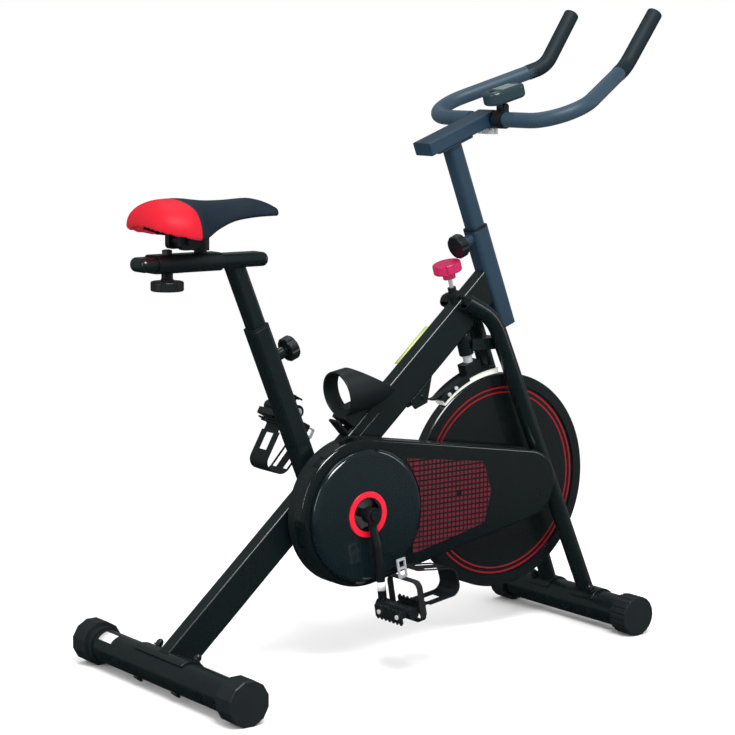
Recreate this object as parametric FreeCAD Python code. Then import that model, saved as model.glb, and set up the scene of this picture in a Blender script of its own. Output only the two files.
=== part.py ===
"""Indoor spin bike with a belt-driven flywheel, drop saddle post, bar post and felt-pad brake.

Millimetres, +X forwards, +Y to the rider's left, +Z up. The origin is on the floor in the middle of the
bike's bounding box. Slanted parts are built standing on +Z and then leaned towards +X by an angle.
"""

import FreeCAD, Part
import math
import os
from FreeCAD import Placement, Rotation, Vector

# Driving dimensions ---------------------------------------------------------------------------------------
RIGHT, LEFT = -1, 1
SLIP = 0.05                 # radial clearance of a running or slip fit
TOUCH = 0.02                # clearance of a part pushed tight over another one

STAB_R, STAB_WALL = 30, 2   # stabiliser tubes
CAP_R = 38                  # end caps the bike stands on
REAR_X, REAR_LENGTH = -490, 521
FRONT_X, FRONT_LENGTH = 449, 399

BEAM_ANGLE = 41.77          # above the floor
BEAM_DEPTH, BEAM_WIDTH, BEAM_WALL = 60, 30, 2

SEAT_LEAN = -22.5
SEAT_FOOT = Vector(-195, 0, 370)
HEAD_LEAN = -21.1
HEAD_POINT = Vector(211, 0, 739.6)
SLEEVE, SLEEVE_WALL = 37, 1.8
POST, POST_WALL = 30, 2
HOLE_PITCH = 25
SEAT_SLEEVE_TOP = 276       # from SEAT_FOOT along the seat tube
HEAD_SLEEVE_TOP, HEAD_SLEEVE_BOTTOM = 44, -155

CRANK = Vector(-119, 0, 285.5)
WHEEL = Vector(256.7, 0, 295.3)
WHEEL_R, RIM_HALF = 206.6, 12.5
DRIVE_R, DRIVE_RATIO = 97.5, 3.25
BELT_Y, BELT_WIDTH, BELT_THICK = -45, 12, 4
AXLE_R = 8.5
BEARING_R, BEARING_W = 17.5, 10
STAY_INNER, STAY_OUTER = 17, 30.5

GUARD_BIG_R, GUARD_SMALL_R = 135, 66
GUARD_SMALL = Vector(275, 0, 295)
GUARD_WALL = 2.5
GUARD_FACE, GUARD_SPLIT, GUARD_BACK = -75, -51, -31
DISC_R, DISC_RISE = 121, 12

CRANK_LENGTH, CRANK_ANGLE = 165, 7.4   # right arm hangs down, this far forward
PEDAL_IN, PEDAL_OUT = 119, 197

RAIL_Z, RAIL_DEPTH, RAIL_WIDTH = 748, 25, 50
RAIL_REAR, RAIL_FRONT = -546, -289
SLIDER_REAR, SLIDER_FRONT = -514, -386
SLIDER_SCREW_X, SLIDER_TRAVEL, STUB_X = -484, 40, -417
TILT_PIVOT = Vector(-455, 0, 786)

STEM_LEAN = 90 + HEAD_LEAN
BAR_R, BAR_WALL, FOAM_R, GRIP_R = 12.7, 2, 14.3, 15
BAR_X, BAR_Z = 220, 985

BRAKE_LEAN = -16.6
BRAKE_TIP = Vector(182, 0, 529)
PAD_GAP = 2.6
ARM_PIVOT = Vector(62, 0, 474)


# Shape helpers ------------------------------------------------------------------------------------------
def lean(shape, origin, angle):
    """Moves a shape built on +Z to origin and leans it towards +X."""
    moved = shape.copy()
    turn = Placement(origin, Rotation(Vector(0, 1, 0), angle))
    moved.Placement = turn.multiply(shape.Placement)
    return moved


def leaned_point(origin, angle, along, forward=0.0):
    """Point a distance along a leaned axis and forward of it."""
    turn = Rotation(Vector(0, 1, 0), angle)
    return origin + turn.multVec(Vector(forward, 0, along))


def bar(width_x, width_y, length, radius, start=0.0):
    """Solid bar on +Z with rounded corners."""
    block = Part.makeBox(width_x, width_y, length, Vector(-width_x / 2, -width_y / 2, start))
    upright = [e for e in block.Edges if abs(e.tangentAt(e.FirstParameter).z) > 0.99]
    return block.makeFillet(radius, upright)


def box_tube(width_x, width_y, length, radius, wall, start=0.0):
    inner_radius = max(radius - wall, 0.5)
    inner = bar(width_x - 2 * wall, width_y - 2 * wall, length + 2, inner_radius, start - 1)
    return bar(width_x, width_y, length, radius, start).cut(inner)


def y_rod(centre, y_from, y_to, radius):
    """Cylinder along Y through centre."""
    low, high = min(y_from, y_to), max(y_from, y_to)
    return Part.makeCylinder(radius, high - low, Vector(centre.x, low, centre.z), Vector(0, 1, 0))


def y_ring(centre, y_from, y_to, outer, inner):
    low, high = min(y_from, y_to), max(y_from, y_to)
    return y_rod(centre, low, high, outer).cut(y_rod(centre, low - 1, high + 1, inner))


def z_rod(x, y, z_from, z_to, radius):
    return Part.makeCylinder(radius, z_to - z_from, Vector(x, y, z_from))


def box(x_from, x_to, y_from, y_to, z_from, z_to):
    return Part.makeBox(x_to - x_from, y_to - y_from, z_to - z_from, Vector(x_from, y_from, z_from))


def hexagon(across, height, start=0.0):
    """Hexagonal prism on +Z."""
    radius = across / math.sqrt(3)
    corners = [Vector(radius * math.cos(math.radians(60 * k)), radius * math.sin(math.radians(60 * k)), start)
               for k in range(7)]
    return Part.Face(Part.makePolygon(corners)).extrude(Vector(0, 0, height))


def along_y(shape, centre, side):
    """Turns a shape built on +Z so that +Z points to the given side, and moves it to centre."""
    turned = shape.copy()
    turn = Placement(centre, Rotation(Vector(1, 0, 0), -90 * side))
    turned.Placement = turn.multiply(shape.Placement)
    return turned


def bent_path(points, radii):
    """Wire through points, with each inner corner rounded by its radius."""
    edges = []
    start = points[0]
    for corner, before, after, radius in zip(points[1:-1], points[:-2], points[2:], radii):
        back = (before - corner).normalize()
        ahead = (after - corner).normalize()
        half = math.acos(max(-1.0, min(1.0, back.dot(ahead)))) / 2
        reach = radius / math.tan(half)
        inwards = (back + ahead).normalize()
        centre = corner + inwards * (radius / math.sin(half))
        middle = centre - inwards * radius
        arc_start = corner + back * reach
        arc_end = corner + ahead * reach
        edges.append(Part.makeLine(start, arc_start))
        edges.append(Part.Arc(arc_start, middle, arc_end).toShape())
        start = arc_end
    edges.append(Part.makeLine(start, points[-1]))
    return Part.Wire(edges)


def pipe(points, radii, radius):
    """Solid round rod along a bent path."""
    path = bent_path(points, radii)
    direction = (points[1] - points[0]).normalize()
    profile = Part.Wire([Part.makeCircle(radius, points[0], direction)])
    return path.makePipeShell([profile], True, True)


def ribbon(points, radii, width, thickness):
    """Flat strip, wide along Y, whose middle follows a bent path in a plane of constant Y."""
    path = bent_path(points, radii)
    direction = (points[1] - points[0]).normalize()
    normal = Vector(0, 1, 0).cross(direction)
    corners = []
    for across, out in ((-1, -1), (1, -1), (1, 1), (-1, 1), (-1, -1)):
        corners.append(points[0] + Vector(0, 1, 0) * (across * width / 2) + normal * (out * thickness / 2))
    return path.makePipeShell([Part.makePolygon(corners)], True, True)


def hull_face(big, big_r, small, small_r, y):
    """Face in a plane of constant y: the outline of a belt round two circles."""
    span = small - big
    length = math.hypot(span.x, span.z)
    heading = math.atan2(span.z, span.x)
    spread = math.acos((big_r - small_r) / length)

    def on(circle, radius, angle):
        return Vector(circle.x + radius * math.cos(angle), y, circle.z + radius * math.sin(angle))

    top, bottom = heading + spread, heading - spread
    arcs = [
        Part.Arc(on(big, big_r, top), on(big, big_r, heading + math.pi), on(big, big_r, bottom)).toShape(),
        Part.makeLine(on(big, big_r, bottom), on(small, small_r, bottom)),
        Part.Arc(on(small, small_r, bottom), on(small, small_r, heading), on(small, small_r, top)).toShape(),
        Part.makeLine(on(small, small_r, top), on(big, big_r, top)),
    ]
    return Part.Face(Part.Wire(arcs))


def belt_hull(big_r, small_r, y_from, y_to):
    """Solid between two y values whose outline is a belt round the crank and the wheel."""
    low, high = min(y_from, y_to), max(y_from, y_to)
    return hull_face(CRANK, big_r, WHEEL, small_r, low).extrude(Vector(0, high - low, 0))


def guard_hull(inset, y_from, y_to):
    low, high = min(y_from, y_to), max(y_from, y_to)
    face = hull_face(CRANK, GUARD_BIG_R - inset, GUARD_SMALL, GUARD_SMALL_R - inset, low)
    return face.extrude(Vector(0, high - low, 0))


def arc_band(centre, inner, outer, start_deg, end_deg, y_from, y_to):
    """Curved bar: a ring sector in the XZ plane, angles from +X towards +Z."""
    def on(radius, degrees):
        angle = math.radians(degrees)
        return Vector(centre.x + radius * math.cos(angle), y_from, centre.z + radius * math.sin(angle))

    middle = (start_deg + end_deg) / 2
    edges = [
        Part.Arc(on(outer, start_deg), on(outer, middle), on(outer, end_deg)).toShape(),
        Part.makeLine(on(outer, end_deg), on(inner, end_deg)),
        Part.Arc(on(inner, end_deg), on(inner, middle), on(inner, start_deg)).toShape(),
        Part.makeLine(on(inner, start_deg), on(outer, start_deg)),
    ]
    return Part.Face(Part.Wire(edges)).extrude(Vector(0, y_to - y_from, 0))


def polygon_plate(points, y_from, y_to):
    """Flat plate with an outline of (x, z) points, between two y values."""
    corners = [Vector(x, y_from, z) for x, z in points + points[:1]]
    return Part.Face(Part.makePolygon(corners)).extrude(Vector(0, y_to - y_from, 0))


def spring(radius, wire, length, turns):
    """Helical spring on +Z."""
    pitch = (length - 2 * wire) / turns
    helix = Part.makeHelix(pitch, pitch * turns, radius)
    profile = Part.Wire([Part.makeCircle(wire, Vector(radius, 0, 0), Vector(0, 1, 0))])
    coil = Part.Wire(helix.Edges).makePipeShell([profile], True, True)
    coil.translate(Vector(0, 0, wire))
    return coil


def lobed_knob(radius, height, lobes, dent, start=0.0):
    """Hand knob on +Z: a disc with rounded rims and finger dents round its edge."""
    knob = z_rod(0, 0, start, start + height, radius)
    rims = [e for e in knob.Edges if e.Closed]
    knob = knob.makeFillet(min(3.0, height / 4), rims)
    for k in range(lobes):
        angle = 2 * math.pi * k / lobes
        reach = radius + dent * 0.55
        cutter = z_rod(reach * math.cos(angle), reach * math.sin(angle), start - 1, start + height + 1, dent)
        knob = knob.cut(cutter)
    return knob


def mirrored(shape):
    """The same shape on the other side of the bike."""
    return shape.mirror(Vector(0, 0, 0), Vector(0, 1, 0))


def group(*shapes):
    """Separate solids that share one node."""
    return Part.makeCompound([solid for shape in shapes for solid in shape.Solids])


def both_sides(shape):
    return group(shape, mirrored(shape))


def export(name, shape):
    shape.exportStep("parts/" + name + ".step")


# Places worked out from the driving dimensions ------------------------------------------------------------
REAR = Vector(REAR_X, 0, CAP_R)
FRONT = Vector(FRONT_X, 0, CAP_R)
BEAM_LEAN = 90 - BEAM_ANGLE
PIN_RISE_SEAT = SEAT_SLEEVE_TOP - 64
PIN_RISE_HEAD = HEAD_SLEEVE_TOP - 15
PEDAL_RIGHT = CRANK + Vector(math.sin(math.radians(CRANK_ANGLE)), 0, -math.cos(math.radians(CRANK_ANGLE))) \
    * CRANK_LENGTH
PEDAL_LEFT = CRANK * 2 - PEDAL_RIGHT
FOOT_SPREAD = 55
LEG_R, LEG_WALL = 16, 2
LEG_POINTS = [Vector(150, 29, 648), Vector(216, 32, 614), Vector(445, FOOT_SPREAD, 60)]
SADDLE_R = 34               # outside of the curved plates that sit on the stabilisers
GUIDE_BORE_R = 12
GUIDE_START = 16            # above the plunger's tip
BB_R, BB_HALF = 22, 32
HOUSING_R = 24


def beam_block(width=BEAM_WIDTH):
    """Solid envelope of the main beam, long enough to pass through the head tube."""
    return lean(bar(BEAM_DEPTH, width, 1120, 4), REAR, BEAM_LEAN)


def above_beam(clearance):
    """Everything higher above the beam's top face than a clearance."""
    top = -BEAM_DEPTH / 2 - clearance
    return lean(box(top - 100, top, -60, 60, 600, 1120), REAR, BEAM_LEAN)


def head_block():
    """Solid envelope of the head tube."""
    length = HEAD_SLEEVE_TOP - HEAD_SLEEVE_BOTTOM
    return lean(bar(SLEEVE, SLEEVE, length, 7, HEAD_SLEEVE_BOTTOM), HEAD_POINT, HEAD_LEAN)


def leg_rod(side, extra=0.0):
    rod = pipe(LEG_POINTS, [90], LEG_R + extra)
    return rod if side == LEFT else mirrored(rod)


def largest(shape):
    return max(shape.Solids, key=lambda solid: solid.Volume)


def brake_bore(radius):
    """Straight cutter along the brake rod, from above the knob to below the guide tube."""
    return lean(z_rod(0, 0, -10, 260, radius), BRAKE_TIP, BRAKE_LEAN)


def ferrule_bore():
    return lean(z_rod(0, 0, 90, 160, 9), BRAKE_TIP, BRAKE_LEAN)


def stab_bolt_cutter(x, y, tilt, radius):
    """Cutter across a stabiliser tube for one bolt."""
    return lean(z_rod(0, y, -60, 60, radius), Vector(x, 0, CAP_R), tilt)


REAR_BOLT_TILT, FRONT_BOLT_TILT = 38, -30
REAR_BOLT_Y, FRONT_BOLT_Y = 62, 82
BOLT_R = 4


# Frame ----------------------------------------------------------------------------------------------------
def main_beam():
    tube = lean(box_tube(BEAM_DEPTH, BEAM_WIDTH, 1120, 4, BEAM_WALL), REAR, BEAM_LEAN)
    tube = tube.cut(y_rod(REAR, -40, 40, SADDLE_R)).cut(head_block())
    tube = largest(tube)
    return tube.cut(brake_bore(5)).cut(ferrule_bore())


def fork_legs():
    """Tubes welded to the beam's sides, closed and flush with its top face."""
    bore = pipe(LEG_POINTS, [90], LEG_R - LEG_WALL).cut(above_beam(-4))
    leg = pipe(LEG_POINTS, [90], LEG_R).cut(bore).cut(above_beam(1))
    leg = leg.cut(beam_block()).cut(head_block())
    return both_sides(largest(leg.cut(y_rod(FRONT, -120, 120, SADDLE_R))))


def fork_brace():
    """Box between the fork legs with the brake plunger's guide tube welded behind it."""
    brace = box(176, 246, -20, 20, 552, 574).cut(box(170, 243, -17, 17, 555, 571))
    for side in (RIGHT, LEFT):
        brace = brace.cut(leg_rod(side))
    guide = z_rod(0, 0, GUIDE_START, 90, 14)
    brace = largest(brace).fuse(lean(guide, BRAKE_TIP, BRAKE_LEAN))
    bore = lean(z_rod(0, 0, 0, 100, GUIDE_BORE_R), BRAKE_TIP, BRAKE_LEAN)
    return largest(brace.cut(bore).cut(beam_block()))


def saddle_plates():
    """Curved plates between the frame and the stabilisers: one behind, one under each fork leg."""
    rear = arc_band(REAR, STAB_R + TOUCH, SADDLE_R, -25, 125, -78, 78)
    front = arc_band(FRONT, STAB_R + TOUCH, SADDLE_R, 35, 150, 34, 96)
    for y in (-REAR_BOLT_Y, REAR_BOLT_Y):
        rear = rear.cut(stab_bolt_cutter(REAR_X, y, REAR_BOLT_TILT, BOLT_R + 0.2))
    front = front.cut(stab_bolt_cutter(FRONT_X, FRONT_BOLT_Y, FRONT_BOLT_TILT, BOLT_R + 0.2))
    return group(rear, front, mirrored(front))


def stabiliser(centre, length, tilt, bolt_y):
    tube = y_ring(centre, -length / 2, length / 2, STAB_R, STAB_R - STAB_WALL)
    for y in (-bolt_y, bolt_y):
        tube = tube.cut(stab_bolt_cutter(centre.x, y, tilt, BOLT_R + 0.2))
    return tube


def stabiliser_fasteners():
    """Carriage bolts with their heads underneath, and washers and dome nuts on top."""
    solids = []
    for x, bolt_y, tilt in ((REAR_X, REAR_BOLT_Y, REAR_BOLT_TILT), (FRONT_X, FRONT_BOLT_Y, FRONT_BOLT_TILT)):
        for y in (-bolt_y, bolt_y):
            shank = z_rod(0, y, -STAB_R - 0.5, SADDLE_R + 10, BOLT_R)
            head = z_rod(0, y, -STAB_R - 4, -STAB_R - 0.4, 9)
            washer = z_rod(0, y, SADDLE_R + 0.8, SADDLE_R + 2.4, 9)
            body = hexagon(13, 6, SADDLE_R + 2.4)
            body.translate(Vector(0, y, 0))
            dome = Part.makeSphere(6.2, Vector(0, y, SADDLE_R + 8.4))
            nut = washer.fuse(body).fuse(dome.common(z_rod(0, y, SADDLE_R + 8, SADDLE_R + 16, 8)))
            nut = nut.cut(z_rod(0, y, 0, SADDLE_R + 10.2, BOLT_R + TOUCH))
            centre = Vector(x, 0, CAP_R)
            solids.append(lean(shank.fuse(head), centre, tilt))
            solids.append(lean(nut, centre, tilt))
    return group(*solids)


def bottom_bracket():
    """Bearing shell hung under the main beam by two welded plates."""
    shell = y_ring(CRANK, -BB_HALF, BB_HALF, BB_R, BEARING_R + TOUCH)
    rib_half = BB_HALF - BEARING_W - 1
    shell = shell.fuse(y_ring(CRANK, -rib_half, rib_half, BEARING_R + 1, BEARING_R - 2))
    outline = [(-172, 300), (-118, 250), (-66, 300), (-40, 455), (-112, 392), (-165, 344)]
    plate = polygon_plate(outline, 12, 16.9).cut(y_rod(CRANK, -50, 50, BB_R)).cut(beam_block())
    plate = largest(plate)
    return shell.fuse(plate).fuse(mirrored(plate))


def bearing_pair(centre, y_inner):
    """Ball bearings, one each side, with a groove for the shield."""
    ring = y_ring(centre, y_inner, y_inner + BEARING_W, BEARING_R, AXLE_R + SLIP)
    groove = y_ring(centre, y_inner + BEARING_W - 0.8, y_inner + BEARING_W + 1, BEARING_R - 2, AXLE_R + 2)
    bearing = ring.cut(groove)
    return [bearing, mirrored(bearing)]


def ball_bearings():
    return group(*bearing_pair(CRANK, BB_HALF - BEARING_W - 0.5), *bearing_pair(WHEEL, STAY_INNER + 2))


def wheel_stays():
    """Box tubes from the bottom bracket past the wheel to the fork legs, each with a bearing housing."""
    stay = box(CRANK.x, 350, STAY_INNER, STAY_OUTER, 272, 312)
    stay = stay.cut(box(CRANK.x - 5, 360, STAY_INNER + 2, STAY_OUTER - 2, 274, 310))
    stay = stay.cut(y_rod(CRANK, 0, 60, BB_R)).cut(y_rod(WHEEL, 0, 60, HOUSING_R - 0.5)).cut(leg_rod(LEFT))
    housing = y_ring(WHEEL, STAY_INNER, STAY_OUTER, HOUSING_R, BEARING_R + TOUCH)
    housing = housing.fuse(y_ring(WHEEL, STAY_INNER, STAY_INNER + 1.8, BEARING_R + 1, BEARING_R - 3))
    welded = largest(housing.fuse(stay.Solids))
    return both_sides(welded)


def brake_lug():
    """Channel welded under the beam, with the pin that the brake arm turns on."""
    outline = [(22, 480), (46, 452), (74, 462), (86, 520), (40, 500)]
    lug = polygon_plate(outline, -13, 13)
    lug = lug.cut(polygon_plate([(30, 400), (120, 400), (120, 500), (60, 487), (34, 470)], -9.5, 9.5))
    lug = largest(lug.cut(beam_block()).cut(y_rod(ARM_PIVOT, -20, 20, 4 + TOUCH)))
    return group(lug, y_rod(ARM_PIVOT, -15, 15, 4))


def brake_ferrule():
    """Plastic bush where the brake rod enters the top of the beam."""
    bush = z_rod(0, 0, 114, 131, 8.9).fuse(z_rod(0, 0, 131, 140, 13)).fuse(z_rod(0, 0, 140, 150, 8))
    bush = lean(bush.cut(z_rod(0, 0, 90, 160, 4.2)), BRAKE_TIP, BRAKE_LEAN)
    flange = lean(z_rod(0, 0, 90, 160, 12.5), BRAKE_TIP, BRAKE_LEAN)
    wall = beam_block().cut(lean(z_rod(0, 0, 90, 160, 9), BRAKE_TIP, BRAKE_LEAN))
    return largest(bush.common(flange).cut(wall))


# Levelling caps and rollers -------------------------------------------------------------------------------
def levelling_cap(side):
    """Twelve-sided cap; its flats lie a little further out towards the top, so turning it levels the bike."""
    flats = []
    for k in range(12):
        steps = min(k, 12 - k)
        flats.append((math.radians(30 * k - 90), CAP_R + 0.4 * steps))
    corners = []
    for (angle, reach), (next_angle, next_reach) in zip(flats, flats[1:] + flats[:1]):
        spread = math.sin(next_angle - angle)
        x = (reach * math.sin(next_angle) - next_reach * math.sin(angle)) / spread
        z = (next_reach * math.cos(angle) - reach * math.cos(next_angle)) / spread
        corners.append((REAR_X + x, CAP_R + z))
    end = REAR_LENGTH / 2
    cap = polygon_plate(corners, end - 42, end)
    cap = cap.makeChamfer(2, [e for e in cap.Edges if abs(e.CenterOfMass.y - end) < 0.1])
    cap = cap.fuse(y_rod(REAR, end - 54, end - 42, 33.5))
    cap = cap.cut(y_rod(REAR, end - 60, end - 8, STAB_R + SLIP))
    return cap if side == LEFT else mirrored(cap)


def roller_cap(side):
    """Fluted cap that turns on the plug in the front stabiliser's end."""
    end = FRONT_LENGTH / 2
    cap = y_rod(FRONT, end - 40, end, CAP_R)
    cap = cap.makeFillet(2, [e for e in cap.Edges if abs(e.CenterOfMass.y - end) < 0.1])
    flutes = 20
    for k in range(flutes):
        angle = 2 * math.pi * (k + 0.5) / flutes - math.pi / 2
        groove = Vector(FRONT_X + 39.5 * math.cos(angle), 0, CAP_R + 39.5 * math.sin(angle))
        cap = cap.cut(y_rod(groove, end - 41, end + 1, 3))
    cap = cap.cut(y_rod(FRONT, end - 41, end - 12, 8 + SLIP))
    cap = cap.cut(y_ring(FRONT, end - 41, end - 14, STAB_R + 1.5, 14))
    return cap if side == LEFT else mirrored(cap)


def front_stabiliser():
    """Tube with the plugs in its ends whose stub shafts carry the roller caps."""
    end = FRONT_LENGTH / 2
    tube = stabiliser(FRONT, FRONT_LENGTH - 82, FRONT_BOLT_TILT, FRONT_BOLT_Y)
    plug = y_rod(FRONT, end - 60, end - 42, STAB_R - STAB_WALL - TOUCH)
    plug = plug.fuse(y_rod(FRONT, end - 43, end - 13, 8))
    return group(tube, plug, mirrored(plug))


# Belt guard -----------------------------------------------------------------------------------------------
SCREW_PLACES = [(-97, 402), (-244, 275), (101.5, 297), (296.6, 267.5)]
CRANK_HOLE_R = 28


def guard_outer():
    shell = guard_hull(0, GUARD_FACE, GUARD_SPLIT)
    shell = shell.makeFillet(6, [e for e in shell.Edges if abs(e.CenterOfMass.y - GUARD_FACE) < 0.1])
    shell = shell.cut(guard_hull(GUARD_WALL, GUARD_FACE + GUARD_WALL, GUARD_SPLIT + 1))
    shell = shell.cut(y_rod(CRANK, -100, 0, CRANK_HOLE_R)).cut(leg_rod(RIGHT, 1.5))
    for x, z in SCREW_PLACES:
        shell = shell.cut(y_rod(Vector(x, 0, z), -100, -40, 2.6))
        shell = shell.cut(y_rod(Vector(x, 0, z), -100, GUARD_FACE + 1, 5))
    return largest(shell)


def guard_inner():
    shell = guard_hull(0, GUARD_SPLIT + TOUCH, GUARD_BACK)
    shell = shell.cut(guard_hull(GUARD_WALL, GUARD_SPLIT - 1, GUARD_BACK - GUARD_WALL))
    for x, z in SCREW_PLACES:
        place = Vector(x, 0, z)
        shell = shell.fuse(y_rod(place, GUARD_FACE + GUARD_WALL + TOUCH, GUARD_BACK - 1, 5.5))
    shell = shell.cut(y_rod(CRANK, -60, 0, BB_R + 1)).cut(y_rod(WHEEL, -60, 0, BEARING_R + 1))
    shell = shell.cut(leg_rod(RIGHT, 1.5))
    for x, z in SCREW_PLACES:
        shell = shell.cut(y_rod(Vector(x, 0, z), -80, -50, 1.9))
    return largest(shell)


def guard_screws():
    screws = []
    for x, z in SCREW_PLACES:
        place = Vector(x, 0, z)
        head = y_rod(place, GUARD_FACE - 0.4, GUARD_FACE + 0.98, 4.6)
        head = head.cut(box(x - 2.5, x + 2.5, -76, GUARD_FACE + 0.4, z - 0.5, z + 0.5))
        head = head.cut(box(x - 0.5, x + 0.5, -76, GUARD_FACE + 0.4, z - 2.5, z + 2.5))
        screws.append(head.fuse(y_rod(place, GUARD_FACE + 0.9, -55, 1.85)))
    return group(*screws)


DISC_CENTRE = CRANK + Vector(4, 0, -4)


def guard_disc():
    """Shallow domed dish on the guard's face, round the crank."""
    base = GUARD_FACE - TOUCH
    dish = y_rod(DISC_CENTRE, base - DISC_RISE, base, DISC_R)
    dish = dish.makeFillet(9, [e for e in dish.Edges if abs(e.CenterOfMass.y - base + DISC_RISE) < 0.1])
    inside = y_rod(DISC_CENTRE, base - DISC_RISE + 2.5, base + 1, DISC_R - 10)
    dish = dish.cut(inside).cut(y_rod(CRANK, -100, -60, CRANK_HOLE_R))
    for x, z in SCREW_PLACES:
        dish = dish.cut(y_rod(Vector(x, 0, z), -100, -60, 6))
    return dish


def guard_ring():
    face = GUARD_FACE - DISC_RISE - 2 * TOUCH
    ring = y_ring(CRANK, face - 2.5, face, 41.7, 31)
    return ring.makeFillet(0.9, [e for e in ring.Edges if abs(e.CenterOfMass.y - face + 2.5) < 0.1])


def louvre_panel():
    """Thin panel on the guard's face, between the disc and the wheel."""
    outline = [(-22, 376), (160, 352), (179, 294), (163, 235), (98, 219), (-8, 196)]
    panel = polygon_plate(outline, GUARD_FACE - 1.2, GUARD_FACE - TOUCH)
    panel = panel.cut(y_rod(DISC_CENTRE, -100, 0, DISC_R + 6))
    for x, z in SCREW_PLACES:
        panel = panel.cut(y_rod(Vector(x, 0, z), -100, 0, 6))
    return largest(panel)


# Crankset -------------------------------------------------------------------------------------------------
ARM_Y, ARM_R, BOSS_IN, BOSS_OUT = 107, 8, 88.5, 108
EYE_IN, EYE_OUT, PEDAL_SHANK_R = 100, 115.5, 7


def crank_spindle():
    """Spindle with a bolt in each end that holds its crank arm on."""
    spindle = y_rod(CRANK, -BOSS_OUT, BOSS_OUT, AXLE_R)
    bolt = y_rod(CRANK, BOSS_OUT + TOUCH, BOSS_OUT + 4, 9).fuse(y_rod(CRANK, BOSS_OUT - 16, BOSS_OUT + 1, 4))
    hole = y_rod(CRANK, BOSS_OUT - 18, BOSS_OUT + 1, 4 + TOUCH)
    spindle = spindle.cut(hole).cut(mirrored(hole))
    return group(spindle, bolt, mirrored(bolt))


def crank_arm(side):
    """Round-section arm that leaves its boss, bends outwards and runs straight to the pedal eye."""
    pedal = PEDAL_RIGHT if side == RIGHT else PEDAL_LEFT
    reach = (pedal - CRANK).normalize()
    boss_middle = (BOSS_IN + BOSS_OUT) / 2
    points = [
        CRANK + Vector(0, side * boss_middle, 0),
        CRANK + reach * 24 + Vector(0, side * boss_middle, 0),
        CRANK + reach * 56 + Vector(0, side * ARM_Y, 0),
        pedal + Vector(0, side * ARM_Y, 0),
    ]
    arm = pipe(points, [26, 26], ARM_R)
    arm = arm.fuse(y_rod(CRANK, side * BOSS_IN, side * BOSS_OUT, 15))
    arm = arm.fuse(y_rod(pedal, side * EYE_IN, side * EYE_OUT, 12.5))
    arm = arm.cut(y_rod(CRANK, side * 80, side * 120, AXLE_R + TOUCH))
    return arm.cut(y_rod(pedal, side * 90, side * 120, PEDAL_SHANK_R + TOUCH))


def drive_pulley():
    rim = y_ring(CRANK, BELT_Y - 7, BELT_Y + 7, DRIVE_R, DRIVE_R - 6)
    web = y_rod(CRANK, BELT_Y - 2, BELT_Y + 2, DRIVE_R - 5)
    hub = y_rod(CRANK, BELT_Y - 11, -BB_HALF - 1, 16)
    wheel = rim.fuse(web).fuse(hub)
    for k in range(6):
        angle = math.pi * k / 3
        hole = CRANK + Vector(math.cos(angle), 0, math.sin(angle)) * 57
        wheel = wheel.cut(y_rod(hole, -60, -30, 17))
    return wheel.cut(y_rod(CRANK, -90, 0, AXLE_R + TOUCH))


def drive_belt():
    small = DRIVE_R / DRIVE_RATIO
    half = BELT_WIDTH / 2
    outer = belt_hull(DRIVE_R + SLIP + BELT_THICK, small + SLIP + BELT_THICK, BELT_Y - half, BELT_Y + half)
    return outer.cut(belt_hull(DRIVE_R + SLIP, small + SLIP, BELT_Y - half - 1, BELT_Y + half + 1))


def pedal_spindles():
    """Spindles screwed into the arms, each with a flange against its arm."""
    spindles = []
    for side, pedal in ((RIGHT, PEDAL_RIGHT), (LEFT, PEDAL_LEFT)):
        shank = y_rod(pedal, side * (EYE_IN - 2), side * (EYE_OUT + 1), PEDAL_SHANK_R)
        flange = y_rod(pedal, side * (EYE_OUT + 0.1), side * (EYE_OUT + 2.4), 8)
        axle = y_rod(pedal, side * EYE_OUT, side * (PEDAL_OUT - 8), 5)
        spindles.append(shank.fuse(flange).fuse(axle))
    return group(*spindles)


# Pedals, built level round their own spindle on the left side, then placed --------------------------------
CAGE_X, CAGE_Z, PLATE, ARM_OFFSET = 28, 14.5, 2.5, 13
LOOP_TOP = 54
ORIGIN = Vector(0, 0, 0)


def pedal_body():
    """Core with two cross arms, the serrated plates bolted to their ends, and the bolt heads."""
    core = y_rod(ORIGIN, PEDAL_IN, PEDAL_OUT, 11)
    plate = box(CAGE_X - PLATE, CAGE_X, PEDAL_IN, PEDAL_OUT, -CAGE_Z, CAGE_Z)
    bolts = []
    for y in (PEDAL_IN + ARM_OFFSET, PEDAL_OUT - ARM_OFFSET):
        reach = CAGE_X - PLATE - TOUCH
        core = core.fuse(box(-reach, reach, y - 5, y + 5, -5, 5))
        bolts.append(Part.makeCylinder(4.2, 2.4, Vector(CAGE_X + TOUCH, y, 0), Vector(1, 0, 0)))
    teeth = 7
    pitch = (PEDAL_OUT - PEDAL_IN) / teeth
    for k in range(teeth + 1):
        for z in (-CAGE_Z, CAGE_Z):
            notch = Part.makeCylinder(3.6, 10, Vector(CAGE_X - 6, PEDAL_IN + k * pitch, z), Vector(1, 0, 0))
            plate = plate.cut(notch)
    core = core.cut(y_rod(ORIGIN, PEDAL_IN - 5, PEDAL_OUT - 6, 5 + SLIP))
    front = [plate] + bolts
    rear = [shape.mirror(ORIGIN, Vector(1, 0, 0)) for shape in front]
    return group(core, *front, *rear)


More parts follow.
